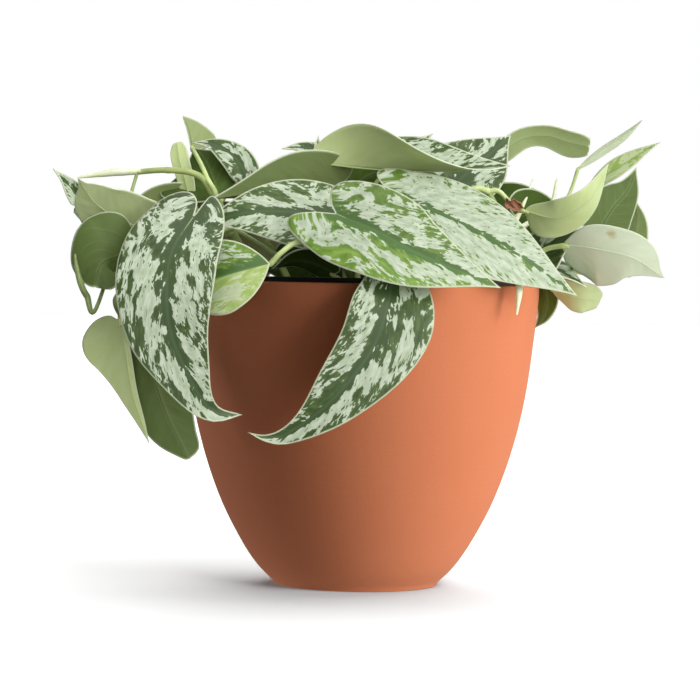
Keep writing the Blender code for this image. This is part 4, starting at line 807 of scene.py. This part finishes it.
def tube(line, radii, material):
    """A round stalk or stem along the points, made as a curve with a radius at each point."""
    curve = bpy.data.curves.new("stalk", "CURVE")
    curve.dimensions = "3D"
    curve.bevel_depth = MM
    curve.bevel_resolution = 4
    curve.use_fill_caps = True
    path = curve.splines.new("POLY")
    path.points.add(len(line) - 1)
    for point, place, radius in zip(path.points, line, radii):
        point.co = (*(np.asarray(place) * MM), 1.0)
        point.radius = radius
    path.use_smooth = True
    obj = bpy.data.objects.new("stalk", curve)
    bpy.context.scene.collection.objects.link(obj)
    select_only(obj)
    bpy.ops.object.convert(target="MESH")
    obj = bpy.context.view_layer.objects.active
    obj.data.materials.clear()
    obj.data.materials.append(material)
    return obj


def nearest_on(line, point):
    fine = np.vstack([a + (b - a) * k / 12 for a, b in zip(line, line[1:]) for k in range(13)])
    return fine[np.argmin(np.linalg.norm(fine - point, axis=1))]


def stem_line(name):
    """The stem's points from its hole in the soil to its end."""
    stem = STEMS[name]
    start = np.array(stem["line"][0], float)
    foot = start * (1, 1, 0) + (0, 0, SOIL_TOP - 10.0)
    line = spline(stem["line"], np.linspace(0, 1, 40))
    return np.vstack([foot, line])


def leaf_stalk(leaf, line):
    """The stalk from inside its stem to the blade, a little thicker at both ends."""
    points = [nearest_on(line, np.array(leaf["stalk"][0], float))]
    points += [np.array(p, float) for p in leaf["stalk"][1:]]
    thick = 0.8 + 0.014 * leaf["width"]
    rib = spline(leaf["rib"], np.array([0.0, 0.05]))
    along = unit(rib[1] - rib[0])
    up = unit(leaf["up"][0])
    rib = rib - unit(up - up.dot(along) * along) * thick
    path = np.vstack([spline(points + [rib[0]], np.linspace(0, 1, 8 * len(points) + 1)), rib[1:]])
    t = np.linspace(0, 1, len(path))
    radii = np.interp(t, [0, 0.08, 0.3, 0.85, 0.95, 1.0], [1.3, 1.15, 0.98, 0.92, 1.08, 0.6]) * thick
    return tube(path, radii, STALK)


def midrib(name, leaf, seed):
    """The raised midrib under the blade, of the same skin, which thins out towards the tip."""
    t = np.linspace(0.01, 0.93, 22)
    line = spline(leaf["rib"], t)
    up = upper_side(leaf, t[:, None], unit(np.gradient(line, axis=0)))
    thick = (0.3 + 0.006 * leaf["width"]) * np.interp(t, [0, 0.35, 1], [1.0, 0.55, 0.2])
    rib = tube(line - up * (BLADE_THICKNESS / 2 - thick[:, None] * 0.1), thick, LEAF_UNDERSIDE)
    # the underside's paleness, which also carries the leaf's painted light and shade
    pale = tones_of(name)[3]
    values = {"veins": (0, 0, seed), "place": (3, 20, 0), "tone": (0, 0, pale), "size": (1, 99, 1)}
    give_values(rib.data, {key: [np.full(len(rib.data.vertices), part) for part in parts]
                           for key, parts in values.items()})
    return rib


def build_vine(name):
    stem = STEMS[name]
    line = stem_line(name)
    t = np.linspace(0, 1, len(line))
    swelling = 1 + 0.12 * np.maximum(0, np.cos(t * 2 * math.pi * 5)) ** 12
    stalks = [tube(line, np.interp(t, [0, 1], stem["radius"]) * swelling, STEM)]
    blades = []
    for seed, (leaf_name, leaf) in enumerate(LEAVES.items()):
        if leaf["stem"] == name:
            stalks.append(leaf_stalk(leaf, line))
            blades += [blade(leaf_name, leaf, seed), midrib(leaf_name, leaf, seed)]
    for shoot_name, shoot in SHOOTS.items():
        if shoot["stem"] == name:
            points = [nearest_on(line, np.array(shoot["line"][0], float))] + list(shoot["line"][1:])
            t = np.linspace(0, 1, 8 * len(points))
            radius = np.interp(t, np.linspace(0, 1, len(shoot["radius"])), shoot["radius"])
            material = ROLLED_GREEN if shoot_name in ("young_leaf", "rolled_rim") else YOUNG_SHOOT
            stalks.append(tube(spline(points, t), radius, material))
    for piece in (joined("leaves_" + name, blades), joined("stems_" + name, stalks)):
        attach(piece, "root")
        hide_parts("vine_" + name)


def build_dry_bract():
    """The withered bract caught in the fork of the right stem: a thin, crumpled strip."""
    bpy.ops.mesh.primitive_grid_add(x_subdivisions=12, y_subdivisions=8, size=1)
    bract = bpy.context.view_layer.objects.active
    for vertex in bract.data.vertices:
        along, across = vertex.co.x + 0.5, vertex.co.y
        crumple = 0.9 * math.sin(along * 9 + across * 5) + 0.7 * math.sin(across * 13 - along * 4)
        half = 3.4 * math.sin(math.pi * (0.18 + 0.7 * along)) * (1 + 0.25 * math.sin(along * 17))
        curl = across * 2.4
        vertex.co = (BRACT_PLACE[0] + BRACT_LENGTH * (along - 0.5) + 0.4 * crumple,
                     BRACT_PLACE[1] + half * (math.cos(curl) - 1) + 0.6 * crumple,
                     BRACT_PLACE[2] - 3.2 * (along - 0.5) + half * math.sin(curl) * 0.8 + 0.5 * crumple)
        vertex.co *= MM
    bpy.ops.object.shade_smooth()
    apply_modifier(bract, "SOLIDIFY", thickness=0.3 * MM, offset=0.0)
    bract.data.materials.append(dry_sheath_material())
    bract = joined("dry_bract", [bract])
    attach(bract, "root")


def turned(name, profile, steps, material):
    """The profile, radius and height, spun round the z axis and closed, with its normals out."""
    mesh = bpy.data.meshes.new(name)
    edges = [(i, i + 1) for i in range(len(profile) - 1)]
    mesh.from_pydata([(r * MM, 0.0, z * MM) for r, z in profile], edges, [])
    obj = bpy.data.objects.new(name, mesh)
    bpy.context.scene.collection.objects.link(obj)
    select_only(obj)
    bpy.ops.object.mode_set(mode="EDIT")
    bpy.ops.mesh.select_all(action="SELECT")
    bpy.ops.mesh.spin(steps=steps, angle=2 * math.pi, center=(0, 0, 0), axis=(0, 0, 1))
    bpy.ops.mesh.select_all(action="SELECT")
    bpy.ops.mesh.remove_doubles(threshold=0.005 * MM)
    bpy.ops.mesh.normals_make_consistent(inside=False)
    bpy.ops.object.mode_set(mode="OBJECT")
    bpy.ops.object.shade_smooth_by_angle(angle=math.radians(40))
    mesh.materials.append(material)
    return obj


def cover_inner(height):
    return float(np.interp(height, [z for _, z in COVER_SIDE], [r for r, _ in COVER_SIDE])) - COVER_WALL


def build_cover_pot():
    """The terracotta pot: a smooth tapered side, a thin rounded lip and a flat foot."""
    side = [tuple(p) for p in spline(COVER_SIDE, np.linspace(0, 1, 46))]
    profile = [(0, 0), (38.0, 0), (38.9, 0.3), *side, (84.9, 142.6), (84.5, 142.9), (84.0, 143.0),
               (81.8, 143.0), (81.3, 142.9), (81.05, 142.5)]
    for height in (142.0, 126.0, 110.0, 92.0, 74.0, 60.0, 46.0, 33.0, 20.0):
        profile.append((cover_inner(height), height))
    profile += [(cover_inner(12.0) - 2.0, COVER_FLOOR + 2.0), (cover_inner(12.0) - 8.0, COVER_FLOOR),
                (0, COVER_FLOOR)]
    pot = turned("terracotta_pot", profile, COVER_STEPS, terracotta_material())
    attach(pot, "root")
    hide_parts("cover_pot")


def nursery_outer(height):
    share = (height - NURSERY_BOTTOM) / (NURSERY_TOP - NURSERY_BOTTOM)
    return NURSERY_BASE_RADIUS + share * (NURSERY_TOP_RADIUS - NURSERY_BASE_RADIUS)


def build_nursery_pot():
    """The thin black pot, with its turned-down rim and drain holes."""
    drop = NURSERY_TOP - NURSERY_RIM_DROP
    base, rim, mouth = NURSERY_BASE_RADIUS, NURSERY_RIM_RADIUS, NURSERY_TOP_RADIUS - NURSERY_WALL
    floor, middle = NURSERY_BOTTOM + NURSERY_WALL, 88.0
    profile = [(0, NURSERY_BOTTOM), (base - 2, NURSERY_BOTTOM), (base - 0.5, NURSERY_BOTTOM + 0.6),
               (base, NURSERY_BOTTOM + 2), (nursery_outer(middle), middle), (nursery_outer(drop), drop),
               (rim - 0.4, drop), (rim, drop + 0.4), (rim, NURSERY_TOP - 0.7), (rim - 0.2, NURSERY_TOP - 0.2),
               (rim - 0.7, NURSERY_TOP), (mouth + 0.6, NURSERY_TOP), (mouth + 0.15, NURSERY_TOP - 0.15),
               (mouth, NURSERY_TOP - 0.6), (nursery_outer(middle) - NURSERY_WALL, middle),
               (base - NURSERY_WALL, floor + 2), (base - NURSERY_WALL - 2, floor), (0, floor)]
    pot = turned("black_nursery_pot", profile, NURSERY_STEPS, plastic_material())
    for k in range(DRAIN_HOLES):
        angle = math.pi / 4 + k * 2 * math.pi / DRAIN_HOLES
        x, y = DRAIN_CIRCLE * math.cos(angle), DRAIN_CIRCLE * math.sin(angle)
        bpy.ops.mesh.primitive_cylinder_add(vertices=24, radius=DRAIN_RADIUS * MM, depth=8 * MM,
                                            location=(x * MM, y * MM, NURSERY_BOTTOM * MM))
        drill = bpy.context.view_layer.objects.active
        apply_modifier(pot, "BOOLEAN", operation="DIFFERENCE", object=drill, solver="EXACT")
        bpy.data.objects.remove(drill)
    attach(pot, "root")
    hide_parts("nursery_pot")


def build_soil():
    """The root ball in the nursery pot, with a crumbly face, and loose crumbs and perlite on it."""
    foot = NURSERY_BOTTOM + NURSERY_WALL + 0.4
    inset = NURSERY_WALL + 0.4
    edge = nursery_outer(SOIL_TOP) - inset
    base = NURSERY_BASE_RADIUS - inset
    profile = [(0, foot), (base - 3, foot), (base - 0.5, foot + 2.5), (nursery_outer(88.0) - inset, 88.0),
               (edge, SOIL_TOP - 0.8)]
    profile += [(radius, SOIL_TOP) for radius in np.arange(edge - 0.8, 1.0, -2.4)] + [(0, SOIL_TOP)]
    soil = turned("potting_soil", profile, 96, soil_material())
    for vertex in soil.data.vertices:
        x, y, z = np.array(vertex.co) / MM
        if z > SOIL_TOP - 0.2:
            rough = math.sin(x * 0.61 + 1.3 * math.sin(y * 0.37))
            rough *= math.sin(y * 0.53 + 1.7 * math.sin(x * 0.29))
            fine = math.sin(x * 1.9 + y * 0.7) * math.sin(y * 2.3 - x * 0.5)
            vertex.co.z += (rough * 0.9 + fine * 0.4 - 0.4) * MM
    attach(soil, "root")
    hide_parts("soil")

    chance = random.Random(7)
    for name, count, size, material in (("soil_crumbs", 150, (0.9, 2.4), soil_material()),
                                        ("perlite_grains", 26, (0.8, 1.6), perlite_material())):
        grains = []
        while len(grains) < count:
            angle, radius = chance.uniform(0, 2 * math.pi), 66 * math.sqrt(chance.random())
            x, y = radius * math.cos(angle), radius * math.sin(angle)
            if any(math.hypot(x - stem["line"][0][0], y - stem["line"][0][1]) < 6 for stem in STEMS.values()):
                continue
            big = chance.uniform(*size)
            bpy.ops.mesh.primitive_ico_sphere_add(subdivisions=1, radius=big * MM,
                                                  location=(x * MM, y * MM, (SOIL_TOP + 0.25 * big) * MM))
            grain = bpy.context.view_layer.objects.active
            for vertex in grain.data.vertices:
                vertex.co *= chance.uniform(0.7, 1.15)
            bpy.ops.object.transform_apply(location=True)
            grains.append(grain)
        piece = joined(name, grains)
        piece.data.materials.clear()
        piece.data.materials.append(material)
        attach(piece, "root")


def build_stage():
    """White floor and background, a soft key light from the right in front, and weak light from the left."""
    bpy.ops.mesh.primitive_plane_add(size=12.0, location=(0, 3.0, 0))
    floor = bpy.context.view_layer.objects.active
    floor.name = "studio_floor"
    material, tree, shader = new_material("white studio paper", base_color=colour("#7C7C7C"), roughness=0.9)
    shader.inputs["Emission Color"].default_value = (1, 1, 1, 1)
    shader.inputs["Emission Strength"].default_value = FLOOR_GLOW
    # for every ray but the camera's the paper glows: painted bounce light, weak on the left and strong on the
    # right
    where = add(tree, "ShaderNodeTexCoord").outputs["Object"]
    side = add(tree, "ShaderNodeSeparateXYZ", {0: where}).outputs[0]
    painted_bounce_strength = ramp(tree, side, -0.15, 0.25, BOUNCE_LEFT, BOUNCE_RIGHT, "SMOOTHSTEP")
    dim = add(tree, "ShaderNodeEmission", {"Color": (1, 1, 1, 1), "Strength": painted_bounce_strength})
    camera_ray = add(tree, "ShaderNodeLightPath").outputs["Is Camera Ray"]
    both = add(tree, "ShaderNodeMixShader", {0: camera_ray, 1: dim.outputs[0], 2: shader.outputs[0]})
    tree.links.new(both.outputs[0], tree.nodes["Material Output"].inputs["Surface"])
    floor.data.materials.append(material)
    floor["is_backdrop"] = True

    # photographers' lamps, each for one subject alone
    plant = bpy.data.collections.new("plant")
    pots = bpy.data.collections.new("pots and soil")
    paper = bpy.data.collections.new("paper")
    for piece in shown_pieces():
        group = plant if piece.name.startswith(("leaves", "stems", "dry")) else pots
        group.objects.link(piece)
    paper.objects.link(floor)
    subjects = {"plant": plant, "pots": pots, "paper": paper}
    everything = bpy.data.collections.new("plant and pots")
    everything.children.link(plant)
    everything.children.link(pots)
    for lit, azimuth, elevation, strength, softness in LIGHTS:
        light = bpy.data.lights.new("lamp for the " + lit, "SUN")
        light.energy = strength
        light.angle = math.radians(softness)
        lamp = bpy.data.objects.new(light.name, light)
        lamp.rotation_euler = (math.radians(90 - elevation), 0, math.radians(azimuth))
        lamp.light_linking.receiver_collection = subjects[lit]
        lamp.light_linking.blocker_collection = everything
        bpy.context.scene.collection.objects.link(lamp)

    world = bpy.data.worlds.new("white studio")
    bpy.context.scene.world = world
    world.use_nodes = True
    tree = world.node_tree
    tree.nodes.clear()
    seen = add(tree, "ShaderNodeBackground", {"Color": (1, 1, 1, 1), "Strength": 1.0})
    lit = add(tree, "ShaderNodeBackground", {"Color": (1, 1, 1, 1), "Strength": ROOM_LIGHT})
    camera_ray = add(tree, "ShaderNodeLightPath").outputs["Is Camera Ray"]
    both = add(tree, "ShaderNodeMixShader", {0: camera_ray, 1: lit.outputs[0], 2: seen.outputs[0]})
    add(tree, "ShaderNodeOutputWorld", {0: both.outputs[0]})


def build_camera():
    camera = bpy.data.cameras.new("camera")
    camera.lens = CAMERA_LENS
    camera.sensor_width = SENSOR
    holder = bpy.data.objects.new("camera", camera)
    tilt = Matrix.Rotation(math.radians(90 - CAMERA_PITCH), 4, "X")
    roll = Matrix.Rotation(math.radians(CAMERA_ROLL), 4, "Z")
    holder.matrix_world = Matrix.Translation([c * MM for c in CAMERA_PLACE]) @ tilt @ roll
    bpy.context.scene.collection.objects.link(holder)
    bpy.context.scene.camera = holder


bpy.context.scene.view_settings.view_transform = "Standard"

LEAF_TOP = leaf_top_material()
LEAF_UNDERSIDE = leaf_underside_material()
LEAF_MARGIN = leaf_margin_material()
STALK = stem_material("waxy green leaf stalk", "#B2C67C", "#D2E09C", 14)
STEM = stem_material("waxy green stem", "#8FA35C", "#A8B46C", 9)
YOUNG_SHOOT = stem_material("pale young shoot", "#D6E0A8", "#F1F5DA", 12)
ROLLED_GREEN = stem_material("rolled young leaf", "#6B7C3E", "#93A465", 8)

build_camera()
build_cover_pot()
build_nursery_pot()
build_soil()
for stem_name in STEMS:
    build_vine(stem_name)
build_dry_bract()
build_stage()
